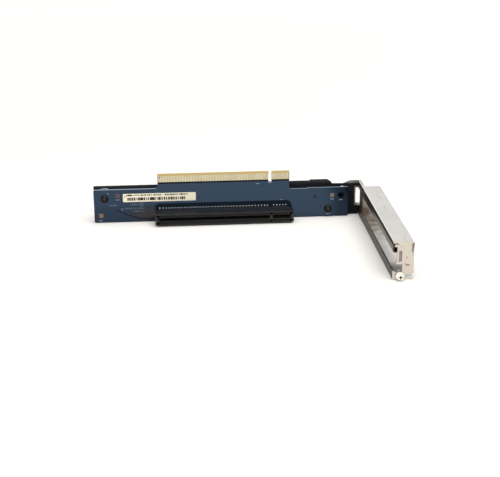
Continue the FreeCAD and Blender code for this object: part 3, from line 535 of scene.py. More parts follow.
# Black-oxide steel screws: dark and oily, with a painted brown highlight in the recess.
BLACK_OXIDE = Finish("black_oxide_steel", "0A0909", "131110", 0.35, metallic=0.6, cloud_mm=1.2)
# The recess is painted brown steel grey as a painted highlight.
RECESS_HIGHLIGHT = Finish("recess_painted_highlight", "4C4541", "5C544F", 0.35, metallic=0.7, cloud_mm=0.6)
# The long fold along the roof is painted near white: a painted highlight along its length.
FOLD_HIGHLIGHT = Finish("fold_painted_highlight", "F0EFEC", "F6F5F2", 0.35, metallic=0.8, cloud_mm=6.0)
# The front of the end plate is painted cream as painted warm light falling on it.
WARM_LIT_SHEET = SheetFinish("end_plate_painted_warm_light", "CCC1B9", "CEC8B9", 0.34, metallic=1.0,
                         cloud_mm=6.0, grain_mm=0.5, grain_along=(1.0, 1.0, 0.2))
# Sheared edges have no plating: dark steel with a dull grain across the cut.
SHEARED_EDGE = Finish("sheared_steel_edge", "4B443C", "5C544A", 0.45, metallic=0.8, cloud_mm=1.2,
                      grain_mm=0.25)
# The hook's inner leaf sees no hand and no light: dull violet grey.
SHADED_LEAF = Finish("inner_leaf_painted_shade", "A59DA2", "B0A9AC", 0.5, metallic=0.5, cloud_mm=2.0)
# The outside of the wall with the window: grey-brown and dull, as painted shade on its left side.
SHADED_WALL = Finish("wall_steel_painted_shade", "3B3630", "47413B", 0.42, metallic=0.9,
                     cloud_mm=7.0)
# The guide rail is the same steel with faint scratches, darkened to grey as painted shade.
SHADED_RAIL_SHEET = SheetFinish("rail_steel_painted_shade", "433D38", "524B46", 0.38, metallic=1.0,
                         cloud_mm=9.0, grain_mm=0.5, grain_along=(1.0, 0.12, 1.0))
# Aluminium rivets, headed cold: satin and slightly pitted.
RIVET_ALUMINIUM = Finish("headed_aluminium", "B9BABB", "CACBCC", 0.36, metallic=1.0, cloud_mm=1.0)
# Bright nickel on the card screw and its washer.
BRIGHT_NICKEL = Finish("bright_nickel_plate", "FAF9F4", "F0EEE6", 0.28, metallic=0.55,
                       cloud_mm=1.5)


# ---------------------------------------------------------------- modelling by hand

# A face looks along an axis, or an edge runs along it, from this share of its way on.
FACING = 0.9
STRAIGHT = 0.99
# A face of a folded sheet looks out or to the front from this share of its normal on. Over a
# fold, the upward share runs from that of the rounded side to nearly level.
OUTWARD = 0.4
FRONT = 0.5
ROUNDED = 0.65
LEVEL = 0.96
# Slack for a face's place, in millimetres.
SKIN = 0.01
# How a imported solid's loose triangles become clean faces, and which edges then get broken.
WELD_MM = 0.002
FLAT_DEGREES = 0.5
SHARP_DEGREES = 50.0
# A mark's corners are rounded by no more than this share of its width and height.
ROUND_AT_MOST = 0.45
# A cross recess lies this far below the crown of a head, in millimetres. Its walls stand
# nearly along the screw, and its floor faces out.
RECESS_FROM = 0.15
RECESS_TO = 1.9
RECESS_WALL = 0.3
RECESS_FLOOR = 0.95


class Kind(Enum):
    """What a choice in edit mode picks."""

    FACE = "FACE"
    EDGE = "EDGE"


def select_only(*pieces: bpy.types.Object) -> None:
    """Select these pieces and nothing else, the last one active."""
    bpy.ops.object.select_all(action="DESELECT")
    for piece in pieces:
        piece.select_set(True)
        bpy.context.view_layer.objects.active = piece


@contextmanager
def edit_mode(piece: bpy.types.Object) -> Iterator[None]:
    """Open one piece in edit mode with nothing selected, and close it again."""
    select_only(piece)
    bpy.ops.object.mode_set(mode="EDIT")
    bpy.ops.mesh.select_all(action="DESELECT")
    yield
    bpy.ops.object.mode_set(mode="OBJECT")


def choose(piece: bpy.types.Object, kind: Kind, wanted: Callable[[Element], bool]) -> None:
    """Select the faces or edges of the piece in edit mode for which the test holds.

    Args:
        piece: the piece in edit mode.
        kind: faces or edges.
        wanted: the test, on a bmesh face or edge.
    """
    bpy.ops.mesh.select_mode(type=kind.value)
    bpy.ops.mesh.select_all(action="DESELECT")
    shape = bmesh.from_edit_mesh(piece.data)
    for element in shape.faces if kind is Kind.FACE else shape.edges:
        if wanted(element):
            element.select_set(True)
    bmesh.update_edit_mesh(piece.data)


def runs_along(edge: bmesh.types.BMEdge, axis: int) -> bool:
    """Say whether an edge runs along an axis."""
    way = (edge.verts[1].co - edge.verts[0].co).normalized()
    return abs(way[axis]) > STRAIGHT


def settled(piece: bpy.types.Object) -> bpy.types.Object:
    """Move a piece's place, turn and size into its mesh."""
    select_only(piece)
    bpy.ops.object.transform_apply(location=True, rotation=True, scale=True)
    return piece


def copied(piece: bpy.types.Object, by: Vector, stretch: float = 1.0) -> bpy.types.Object:
    """Copy a piece with its own mesh and move the copy.

    Args:
        piece: the piece at its own place, not yet settled.
        by: how far the copy moves.
        stretch: factor on the copy's length along X.

    Returns:
        The copy.
    """
    select_only(piece)
    bpy.ops.object.duplicate(linked=False)
    bpy.ops.transform.translate(value=by)
    bpy.ops.transform.resize(value=(stretch, 1.0, 1.0))
    return bpy.context.object


def joined(pieces: Sequence[bpy.types.Object], name: str) -> bpy.types.Object:
    """Join pieces into one object of this name, with its place in its mesh."""
    select_only(*pieces)
    if len(pieces) > 1:
        bpy.ops.object.join()
    whole = bpy.context.object
    whole.name = whole.data.name = name
    return settled(whole)


def shade_by_angle(piece: bpy.types.Object, degrees: float = 35.0) -> None:
    """Shade a piece smooth, but sharp across its harder edges."""
    select_only(piece)
    bpy.ops.object.shade_smooth_by_angle(angle=math.radians(degrees))


def dress(piece: bpy.types.Object, finish: Finish) -> None:
    """Give a finished piece its material, body and slot.

    Args:
        piece: the piece, with its place in its mesh.
        finish: its finish.
    """
    piece.data.materials.clear()
    piece.data.materials.append(finish.build())
    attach(piece, ROOT)
    log.info("%s: %d faces, %s", piece.name, len(piece.data.polygons), finish.name)


def dress_node(name: str, finish: Finish) -> None:
    """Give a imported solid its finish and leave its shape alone."""
    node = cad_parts[name]
    node.data.materials.clear()
    node.data.materials.append(finish.build())
    log.info("%s: packed solid, %s", name, finish.name)


def repaint(piece: bpy.types.Object, finish: Finish,
            wanted: Callable[[bpy.types.MeshPolygon], bool]) -> None:
    """Give the faces of a dressed piece that pass a test a finish of their own.

    Args:
        piece: the piece, with its place in its mesh.
        finish: the finish.
        wanted: the test, on a face of the mesh.
    """
    piece.data.materials.append(finish.build())
    number = len(piece.data.materials) - 1
    chosen = [face for face in piece.data.polygons if wanted(face)]
    for face in chosen:
        face.material_index = number
    log.info("%s: %d faces, %s", piece.name, len(chosen), finish.name)


def in_a_recess(screw: bpy.types.Object, face: bpy.types.MeshPolygon, radius: float) -> bool:
    """Say whether a face lies in the cross recess of a screw that points along Y.

    Args:
        screw: the screw.
        face: one of its faces.
        radius: how far the recess reaches from the axis, in millimetres.

    Returns:
        True in the recess, below the head's crown.
    """
    corners = [Vector(corner) for corner in screw.bound_box]
    middle = sum(corners, Vector()) / 8
    crown = min(corner.y for corner in corners)
    out = math.hypot(face.center.x - middle.x, face.center.z - middle.z) / MM
    lining = abs(face.normal.y) < RECESS_WALL or face.normal.y < -RECESS_FLOOR
    return out < radius and lining and RECESS_FROM < (face.center.y - crown) / MM < RECESS_TO


def spans(piece: bpy.types.Object, face: bpy.types.MeshPolygon) -> list[float]:
    """Measure a face's box along the three axes, shortest first, in millimetres."""
    corners = [piece.data.vertices[number].co for number in face.vertices]
    return sorted((max(corner[axis] for corner in corners)
                   - min(corner[axis] for corner in corners)) / MM for axis in range(3))


def softened(node_name: str, name: str, edge_mm: float, steps: int = 2) -> bpy.types.Object:
    """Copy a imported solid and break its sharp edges, as a cut or moulded edge is.

    Args:
        node_name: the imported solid.
        name: the new piece's name.
        edge_mm: width of the broken edge.
        steps: facets across it.

    Returns:
        The new piece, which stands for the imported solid.
    """
    select_only(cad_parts[node_name])
    bpy.ops.object.duplicate(linked=False)
    piece = bpy.context.object
    piece.name = piece.data.name = name
    with edit_mode(piece):
        bpy.ops.mesh.select_all(action="SELECT")
        bpy.ops.mesh.remove_doubles(threshold=WELD_MM * MM)
        bpy.ops.mesh.dissolve_limited(angle_limit=math.radians(FLAT_DEGREES))
    bevel = piece.modifiers.new("broken_edges", "BEVEL")
    bevel.width = edge_mm * MM
    bevel.segments = steps
    bevel.limit_method = "ANGLE"
    bevel.angle_limit = math.radians(SHARP_DEGREES)
    bevel.use_clamp_overlap = True
    bevel.harden_normals = True
    shade_by_angle(piece)
    bpy.ops.object.modifier_apply(modifier=bevel.name)
    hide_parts(node_name)
    return piece


# ---------------------------------------------------------------- places on the card

@dataclass(frozen=True)
class CardSpace:
    """The card's own datum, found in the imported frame."""

    datum: Vector

    @classmethod
    def find(cls) -> "CardSpace":
        """Take the datum from the boxes of the housing and the board."""
        housing_low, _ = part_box("slot_housing")
        board_low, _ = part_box("riser_board")
        return cls(Vector((housing_low.x, board_low.y, board_low.z)))

    def at(self, x: float, y: float, z: float) -> Vector:
        """Turn millimetres from the datum into a place in the frame."""
        return self.datum + Vector((x, y, z)) * MM

    def height(self, z: float) -> float:
        """Turn a height above the board's lower edge into one in the frame."""
        return self.datum.z + z * MM

    def place(self, face: bpy.types.MeshPolygon) -> Vector:
        """Give the middle of a face in millimetres from the datum."""
        return (face.center - self.datum) / MM


@dataclass(frozen=True)
class Mark:
    """A flat printed or plated mark on the board, by its middle, in millimetres."""

    x: float
    z: float
    width: float
    height: float


def printed_mark(space: CardSpace, mark: Mark, face: float, thick: float,
                 round_off: float = 0.12) -> bpy.types.Object:
    """Print one mark with rounded corners, as ink that spread a little.

    Args:
        space: the card's datum.
        mark: its place and size.
        face: Y of the face that it lies on, in millimetres.
        thick: how far it stands off that face, in millimetres.
        round_off: corner radius in millimetres.

    Returns:
        The mark, at its own place.
    """
    bpy.ops.mesh.primitive_cube_add(size=1, location=space.at(mark.x, face - thick / 2, mark.z))
    piece = bpy.context.object
    piece.scale = Vector((mark.width, thick, mark.height)) * MM
    bpy.ops.object.transform_apply(location=False, rotation=False, scale=True)
    corner = min(round_off, mark.width * ROUND_AT_MOST, mark.height * ROUND_AT_MOST)
    with edit_mode(piece):
        choose(piece, Kind.EDGE, lambda edge: runs_along(edge, 1))
        bpy.ops.mesh.bevel(offset=corner * MM, segments=2, affect="EDGES")
    return piece


def row_of_marks(space: CardSpace, start: Mark, face: float, thick: float,
                 steps: Sequence[tuple[float, float]]) -> list[bpy.types.Object]:
    """Repeat one mark along X.

    Args:
        space: the card's datum.
        start: the first mark.
        face: Y of the face that they lie on, in millimetres.
        thick: how far they stand off it, in millimetres.
        steps: for each further mark, its distance from the first and its stretch along X.

    Returns:
        The marks.
    """
    first = printed_mark(space, start, face, thick)
    return [first] + [copied(first, Vector((step * MM, 0, 0)), stretch)
                      for step, stretch in steps]


# ---------------------------------------------------------------- sub-assemblies

@dataclass
class PrintedBoard:
    """The board with its mask, silkscreen, test pads, vias and gold edge contacts."""

    space: CardSpace
    edge_break: float = 0.07
    # Heights from which the mask is left off, the bevel starts and the tracks show.
    bare_window: float = 25.3
    bevel_low: float = 30.2
    track_low: float = 10.5
    # X of the board's left end, of the slot's left end and of where the mirror fades at the right,
    # and the height below which the mirror is weakened as painted shade.
    mirror_fade_ends: tuple[float, float, float] = (-30.0, 0.0, 108.0)
    shaded_below: float = 9.0
    # Where the painted brown reflection lies beside the slot, and how far it reaches along and up.
    painted_reflection_at: tuple[float, float] = (-4.0, 5.0)
    painted_reflection_reach: tuple[float, float] = (19.0, 6.5)
    hole_x: float = 121.1
    hole_z: float = 14.2
    hole_lining: float = 2.05
    lip_low: float = 24.95
    lip_high: float = 26.0
    lip_thick: float = 0.09
    lip_banks: tuple[tuple[float, float], ...] = ((2.1, 73.4), (75.6, 86.9))
    gap_line: tuple[tuple[float, float], ...] = (
        (-25.4, 8.4), (-19.2, 5.3), (-13.4, 2.9), (-10.0, 2.0), (-1.0, 1.6))
    gap_wide: float = 0.55
    gap_thick: float = 0.02
    gap_overlap: float = 0.3
    slit: Mark = Mark(103.6, 13.4, 0.5, 1.9)
    slit_step: float = 0.9
    ink_thick: float = 0.03
    bars: tuple[Mark, ...] = (
        Mark(-35.2, 1.1, 2.4, 0.45), Mark(-23.9, 14.9, 2.2, 0.4), Mark(115.25, 11.5, 2.4, 0.6),
        Mark(121.1, 10.95, 2.2, 0.5), Mark(112.8, 1.45, 2.4, 0.5), Mark(66.5, 23.4, 2.6, 0.4),
        Mark(82.1, 12.1, 2.2, 0.35), Mark(-21.2, 8.4, 0.5, 1.3), Mark(-30.0, 19.2, 1.6, 0.35))
    ring_x: float = -8.6
    ring_z: float = 11.5
    ring_radius: float = 1.15
    ring_line: float = 0.22
    # Worn rows of strokes: the first stroke, their number and their pitch.
    strokes: tuple[tuple[Mark, int, float], ...] = (
        (Mark(-28.9, 11.2, 0.62, 0.9), 5, 1.05), (Mark(-15.6, 11.5, 0.62, 1.2), 4, 1.4),
        (Mark(-19.4, 8.9, 0.62, 1.1), 10, 1.35), (Mark(-14.0, 6.9, 0.62, 0.6), 7, 1.05))
    stroke_stretch: tuple[float, float] = (0.7, 1.5)
    seed: int = 11
    # The square pads run from copper to dull copper to tin, with these borders between them.
    pad_borders: tuple[float, float] = (-29.0, 50.0)
    # A round land: its thickness, and as shares the width of its rim, that of the step inside
    # the rim, and the depth of its dish.
    pad_thick: float = 0.06
    land_rim: float = 0.45
    land_step: float = 0.1
    land_dish: float = 0.6
    # Round test points: X, height and radius.
    test_points: tuple[tuple[float, float, float], ...] = (
        (107.9, 6.65, 0.5), (117.5, 6.2, 0.5), (3.3, 29.3, 0.42))
    via_x: float = 6.0
    via_z: float = 22.2
    via_radius: float = 0.3
    via_columns: int = 10
    via_step: float = 8.0
    via_shift: float = 3.0
    via_drop: float = 1.6

    def build(self) -> None:
        """Build and dress everything on the board."""
        reflection_x, reflection_z = self.painted_reflection_at
        finish = BoardFinish(
            # Blue solder mask, curtain-coated and cured: deep blue under a clear gloss.
            "solder_mask_on_glass_epoxy", "0A0E13", "0D1117", 0.06, specular=0.75, ior=1.65,
            shine="A5CEFF", cloud_mm=30.0, grain_mm=1.2, bump_mm=0.01, bump_share=0.04,
            bare_from=self.space.height(self.bare_window),
            bevel_from=self.space.height(self.bevel_low),
            tracks_from=self.space.height(self.track_low),
            mirror_fade_ends=tuple(self.space.at(x, 0, 0).x for x in self.mirror_fade_ends),
            shaded_below=self.space.height(self.shaded_below),
            painted_reflection_at=(self.space.at(reflection_x, 0, 0).x, self.space.height(reflection_z)),
            painted_reflection_reach=tuple(reach * MM for reach in self.painted_reflection_reach))
        board = softened("riser_board", "board_laminate", self.edge_break)
        dress(board, finish)
        # The spare hole's lining is painted near black as painted shade.
        repaint(board, THIN_MASK_AND_HOLE_SHADE, self.in_the_spare_hole)
        dress_node("edge_contacts_front", HARD_GOLD)
        dress_node("edge_contacts_back", HARD_GOLD)
        self.mask_lip()
        self.plane_gap()
        self.silkscreen()
        self.worn_print()
        self.test_pads()
        self.vias()

    def in_the_spare_hole(self, face: bpy.types.MeshPolygon) -> bool:
        """Say whether a face lines the open hole near the right end."""
        place = self.space.place(face)
        return math.hypot(place.x - self.hole_x, place.z - self.hole_z) < self.hole_lining

    def mask_lip(self) -> None:
        """Let the solder mask run up over the feet of the gold contacts in two strips."""
        middle = (self.lip_low + self.lip_high) / 2
        tall = self.lip_high - self.lip_low
        strips = [printed_mark(self.space, Mark((left + right) / 2, middle, right - left, tall),
                               0, self.lip_thick)
                  for left, right in self.lip_banks]
        dress(joined(strips, "solder_mask_lip"), THIN_MASK_AND_HOLE_SHADE)

    def plane_gap(self) -> None:
        """Show the gap between two copper planes as a dark line that bends to the slot."""
        pieces = []
        for (x0, z0), (x1, z1) in zip(self.gap_line, self.gap_line[1:]):
            length = math.hypot(x1 - x0, z1 - z0) + self.gap_overlap
            run = Mark((x0 + x1) / 2, (z0 + z1) / 2, length, self.gap_wide)
            strip = printed_mark(self.space, run, 0, self.gap_thick)
            select_only(strip)
            bpy.ops.transform.rotate(value=math.atan2(z1 - z0, x1 - x0), orient_axis="Y",
                                     center_override=strip.location)
            pieces.append(strip)
        pieces += row_of_marks(self.space, self.slit, 0, self.gap_thick,
                               [(self.slit_step, 1.0)])
        dress(joined(pieces, "copper_plane_gap"), THIN_MASK_AND_HOLE_SHADE)

    def silkscreen(self) -> None:
        """Print the plain bars by the pads and holes, and the small circle outline."""
        pieces = [printed_mark(self.space, bar, 0, self.ink_thick) for bar in self.bars]
        pieces.append(self.printed_ring())
        dress(joined(pieces, "silkscreen_marks"), SILKSCREEN)

    def printed_ring(self) -> bpy.types.Object:
        """Print the circle outline: a flat disc that is opened to a ring.

        Returns:
            The ring.
        """
        bpy.ops.mesh.primitive_cylinder_add(
            vertices=32, radius=self.ring_radius * MM, depth=self.ink_thick * MM,
            location=self.space.at(self.ring_x, -self.ink_thick / 2, self.ring_z),
            rotation=(math.pi / 2, 0, 0))
        ring = bpy.context.object
        with edit_mode(ring):
            choose(ring, Kind.FACE, lambda face: abs(face.normal.z) > FACING)
            bpy.ops.mesh.inset(thickness=self.ring_line * MM, depth=0)
            bpy.ops.mesh.bridge_edge_loops()
        return ring

    def worn_print(self) -> None:
        """Print rows of short strokes, too worn to read as anything."""
        draw = random.Random(self.seed)
        pieces: list[bpy.types.Object] = []
        for first, count, step in self.strokes:
            places = [(number * step, draw.uniform(*self.stroke_stretch))
                      for number in range(1, count)]
            pieces += row_of_marks(self.space, first, 0, self.ink_thick, places)
        dress(joined(pieces, "worn_print"), FADED_INK)

    def test_pads(self) -> None:
        """Dress the square pads by how each is coated, and plate the round test points."""
        dress_node("square_pads", BARE_COPPER)
        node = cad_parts["square_pads"]
        for finish in (DULL_COPPER, TINNED_COPPER):
            node.data.materials.append(finish.build())
        for face in node.data.polygons:
            x = self.space.place(face).x
            face.material_index = sum(x > border for border in self.pad_borders)
        points = [self.raised_disc(*point) for point in self.test_points]
        dress(joined(points, "round_test_points"), SCORCHED_COPPER_AND_RECESS_SHADE)

    def raised_disc(self, x: float, z: float, radius: float) -> bpy.types.Object:
        """Plate one round land with its dished middle.

        Args:
            x: its middle, in millimetres from the datum.
            z: its height.
            radius: its radius.

        Returns:
            The land.
        """
        bpy.ops.mesh.primitive_cylinder_add(
            vertices=16, radius=radius * MM, depth=self.pad_thick * MM,
            location=self.space.at(x, -self.pad_thick / 2, z), rotation=(math.pi / 2, 0, 0))
        land = bpy.context.object
        with edit_mode(land):
            choose(land, Kind.FACE, lambda face: face.normal.z > FACING)
            bpy.ops.mesh.inset(thickness=radius * self.land_rim * MM, depth=0)
            bpy.ops.mesh.inset(thickness=radius * self.land_step * MM,
                               depth=-self.pad_thick * self.land_dish * MM)
        return land

    def vias(self) -> None:
        """Drop two staggered rows of masked vias between the tab and the slot."""
        first = self.raised_disc(self.via_x, self.via_z, self.via_radius)
        pair = ((0.0, 0.0), (self.via_shift, -self.via_drop))
        steps = [(column * self.via_step + shift, drop) for column in range(self.via_columns)
                 for shift, drop in pair if column or shift]
        lands = [first] + [copied(first, Vector((step * MM, 0, drop * MM)))
                           for step, drop in steps]
        dress(joined(lands, "masked_vias"), TENTED_MASK)


@dataclass(frozen=True)
class PrintRow:
    """A row of generic print: its first mark, where it ends and its usual pitch."""

    first: Mark
    right: float
    pitch: float


@dataclass
class Label:
    """The paper label with generic print: a row of bars and two rows of strokes over it."""

    space: CardSpace
    ink_thick: float = 0.02
    rows: tuple[PrintRow, ...] = (
        PrintRow(Mark(-17.2, 15.2, 0.95, 2.0), 20.0, 1.25),
        PrintRow(Mark(-17.8, 17.75, 0.82, 0.95), 4.4, 1.05),
        PrintRow(Mark(6.8, 17.75, 0.8, 0.95), 22.0, 0.98))
    mark_stretch: tuple[float, float] = (0.55, 1.3)
    pitch_stretch: tuple[float, float] = (0.8, 1.25)
    seed: int = 5
    dot: Mark = Mark(-19.2, 17.0, 0.75, 0.75)
    dot_round: float = 0.34

    def build(self) -> None:
        """Dress the paper and print on it."""
        dress_node("label_sticker", LABEL_PAPER)
        paper_low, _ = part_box("label_sticker")
        face = (paper_low.y - self.space.datum.y) / MM
        draw = random.Random(self.seed)
        ink: list[bpy.types.Object] = []
        for row in self.rows:
            steps = []
            step = row.pitch
            while row.first.x + step < row.right:
                steps.append((step, draw.uniform(*self.mark_stretch)))
                step += row.pitch * draw.uniform(*self.pitch_stretch)
            ink += row_of_marks(self.space, row.first, face, self.ink_thick, steps)
        ink.append(printed_mark(self.space, self.dot, face, self.ink_thick, self.dot_round))
        dress(joined(ink, "label_print"), LABEL_INK)


@dataclass
class CardSlot:
    """The slot housing with its spring contacts and their solder joints."""

    space: CardSpace
    edge_break: float = 0.09
    middle: float = 4.15
    mating_face: float = -11.25
    mouth_half: float = 1.7
    # Square mould pockets in the mating face, above and below the slot, and the black rims of
    # painted shade round them.
    pocket_places: tuple[float, ...] = (1.7, 74.5, 87.3)
    pocket_off: float = 2.3
    pocket_half: float = 0.55
    pocket_skin: float = 0.05
    rim_half: float = 0.82
    rim_width: float = 0.37
    rim_thick: float = 0.03
    # Every second contact has its tail in the row that shows, left and right of the key.
    first_tail: float = 3.0
    tail_step: float = 2.0
    long_tails: int = 36
    second_bank_tail: float = 77.0
    short_tails: int = 5
    tail_from_middle: float = 4.3
    lower_row_up: float = 0.4
    joint_width: float = 0.56
    joint_height: float = 0.95
    joint_depth: float = 0.42
    joint_shading: float = 60.0

    def build(self) -> None:
        """Build and dress the slot."""
        housing = softened("slot_housing", "housing_moulding", self.edge_break)
        dress(housing, BLACK_NYLON)
        repaint(housing, MOUTH_LIGHT_NYLON, self.in_the_mouth)
        repaint(housing, POCKET_SHADE_NYLON, self.in_a_pocket)
        for side in ("upper", "lower"):
            dress_node("slot_contacts_" + side, SHADED_CONTACT_BRONZE)
        self.solder_joints()
        self.pocket_shade_rims()

    def in_the_mouth(self, face: bpy.types.MeshPolygon) -> bool:
        """Say whether a face lines the slot that a card slides into."""
        place = self.space.place(face)
        return (self.mating_face + self.edge_break < place.y
                and abs(place.z - self.middle) < self.mouth_half)

    def in_a_pocket(self, face: bpy.types.MeshPolygon) -> bool:
        """Say whether a face lines one of the square mould pockets in the mating face."""
        place = self.space.place(face)
        if place.y < self.mating_face + self.pocket_skin:
            return False
        half = self.pocket_half
        return any(abs(place.x - x) < half and abs(abs(place.z - self.middle) - self.pocket_off)
                   < half for x in self.pocket_places)

    def pocket_shade_rims(self) -> None:
        """Stand a low black rim of painted shade round each mould pocket in the mating face."""
        side = 2 * self.rim_half
        rims = []
        for x in self.pocket_places:
            for way in (-1, 1):
                z = self.middle + way * self.pocket_off
                rim = printed_mark(self.space, Mark(x, z, side, side), self.mating_face,
                                   self.rim_thick)
                with edit_mode(rim):
                    choose(rim, Kind.FACE, lambda face: abs(face.normal.y) > FACING)
                    bpy.ops.mesh.inset(thickness=self.rim_width * MM, depth=0)
                    bpy.ops.mesh.delete(type="FACE")
                    choose(rim, Kind.EDGE, lambda edge: edge.is_boundary)
                    bpy.ops.mesh.bridge_edge_loops()
                rims.append(rim)
        dress(joined(rims, "mould_pocket_shade_rims"), POCKET_SHADE_NYLON)

    def solder_joint(self, x: float, z: float) -> bpy.types.Object:
        """Flow one joint round a tail: a drop of solder, flat where it wets the board.

        Args:
            x: the tail's middle, in millimetres from the datum.
            z: its height.

        Returns:
            The joint.
        """
        bpy.ops.mesh.primitive_uv_sphere_add(
            segments=12, ring_count=8, radius=0.5, location=self.space.at(x, 0, z))
        drop = bpy.context.object
        drop.scale = Vector((self.joint_width, 2 * self.joint_depth, self.joint_height)) * MM
        bpy.ops.object.transform_apply(location=False, rotation=False, scale=True)
        with edit_mode(drop):
            bpy.ops.mesh.select_all(action="SELECT")
            bpy.ops.mesh.bisect(plane_co=drop.location, plane_no=(0, 1, 0), use_fill=True,
                                clear_outer=True)
        shade_by_angle(drop, self.joint_shading)
        return drop

    def solder_joints(self) -> None:
        """Copy the joint to every visible tail, above and below the housing."""
        above = self.middle + self.tail_from_middle
        first = self.solder_joint(self.first_tail, above)
        steps = [number * self.tail_step for number in range(1, self.long_tails)]
        steps += [self.second_bank_tail - self.first_tail + number * self.tail_step
                  for number in range(self.short_tails)]
        upper = [first] + [copied(first, Vector((step * MM, 0, 0))) for step in steps]
        down = Vector((0, 0, (self.lower_row_up - 2 * self.tail_from_middle) * MM))
        lower = [copied(joint, down) for joint in upper]
        dress(joined(upper, "solder_joints_upper"), HIGHLIGHTED_SOLDER)
        dress(joined(lower, "solder_joints_lower"), HIGHLIGHTED_SOLDER)


@dataclass
class CarrierBracket:
    """The black bracket behind the board, with its spacers and screws."""

    space: CardSpace
    edge_break: float = 0.12
    pad_x: float = -32.3
    pad_z: float = 15.8
    pad_face: float = 2.4
    rim_depth: float = 0.6
    rim_inside: float = 6.05
    rim_outside: float = 6.5
    recess_radius: float = 1.25

    def build(self) -> None:
        """Build and dress the bracket and what holds the board to it."""
        bracket = softened("carrier_bracket", "bracket_pressing", self.edge_break)
        dress(bracket, BLACK_PAINT)
        # The pad's rim takes a painted highlight.
        repaint(bracket, PAD_RIM_HIGHLIGHT, self.on_a_rim)
        for side in ("left", "right"):
            dress_node("board_spacer_" + side, SPACER_BRASS)
            dress_node("board_screw_" + side, BLACK_OXIDE)
            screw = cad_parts["board_screw_" + side]
            # The screw's cross recess takes a painted highlight.
            repaint(screw, RECESS_HIGHLIGHT, lambda face: in_a_recess(screw, face, self.recess_radius))

    def on_a_rim(self, face: bpy.types.MeshPolygon) -> bool:
        """Say whether a face is on the bevelled rim of the pad behind the left screw."""
        place = self.space.place(face)
        out = math.hypot(place.x - self.pad_x, place.z - self.pad_z)
        return (self.rim_inside < out < self.rim_outside
                and self.pad_face - SKIN < place.y < self.pad_face + self.rim_depth)


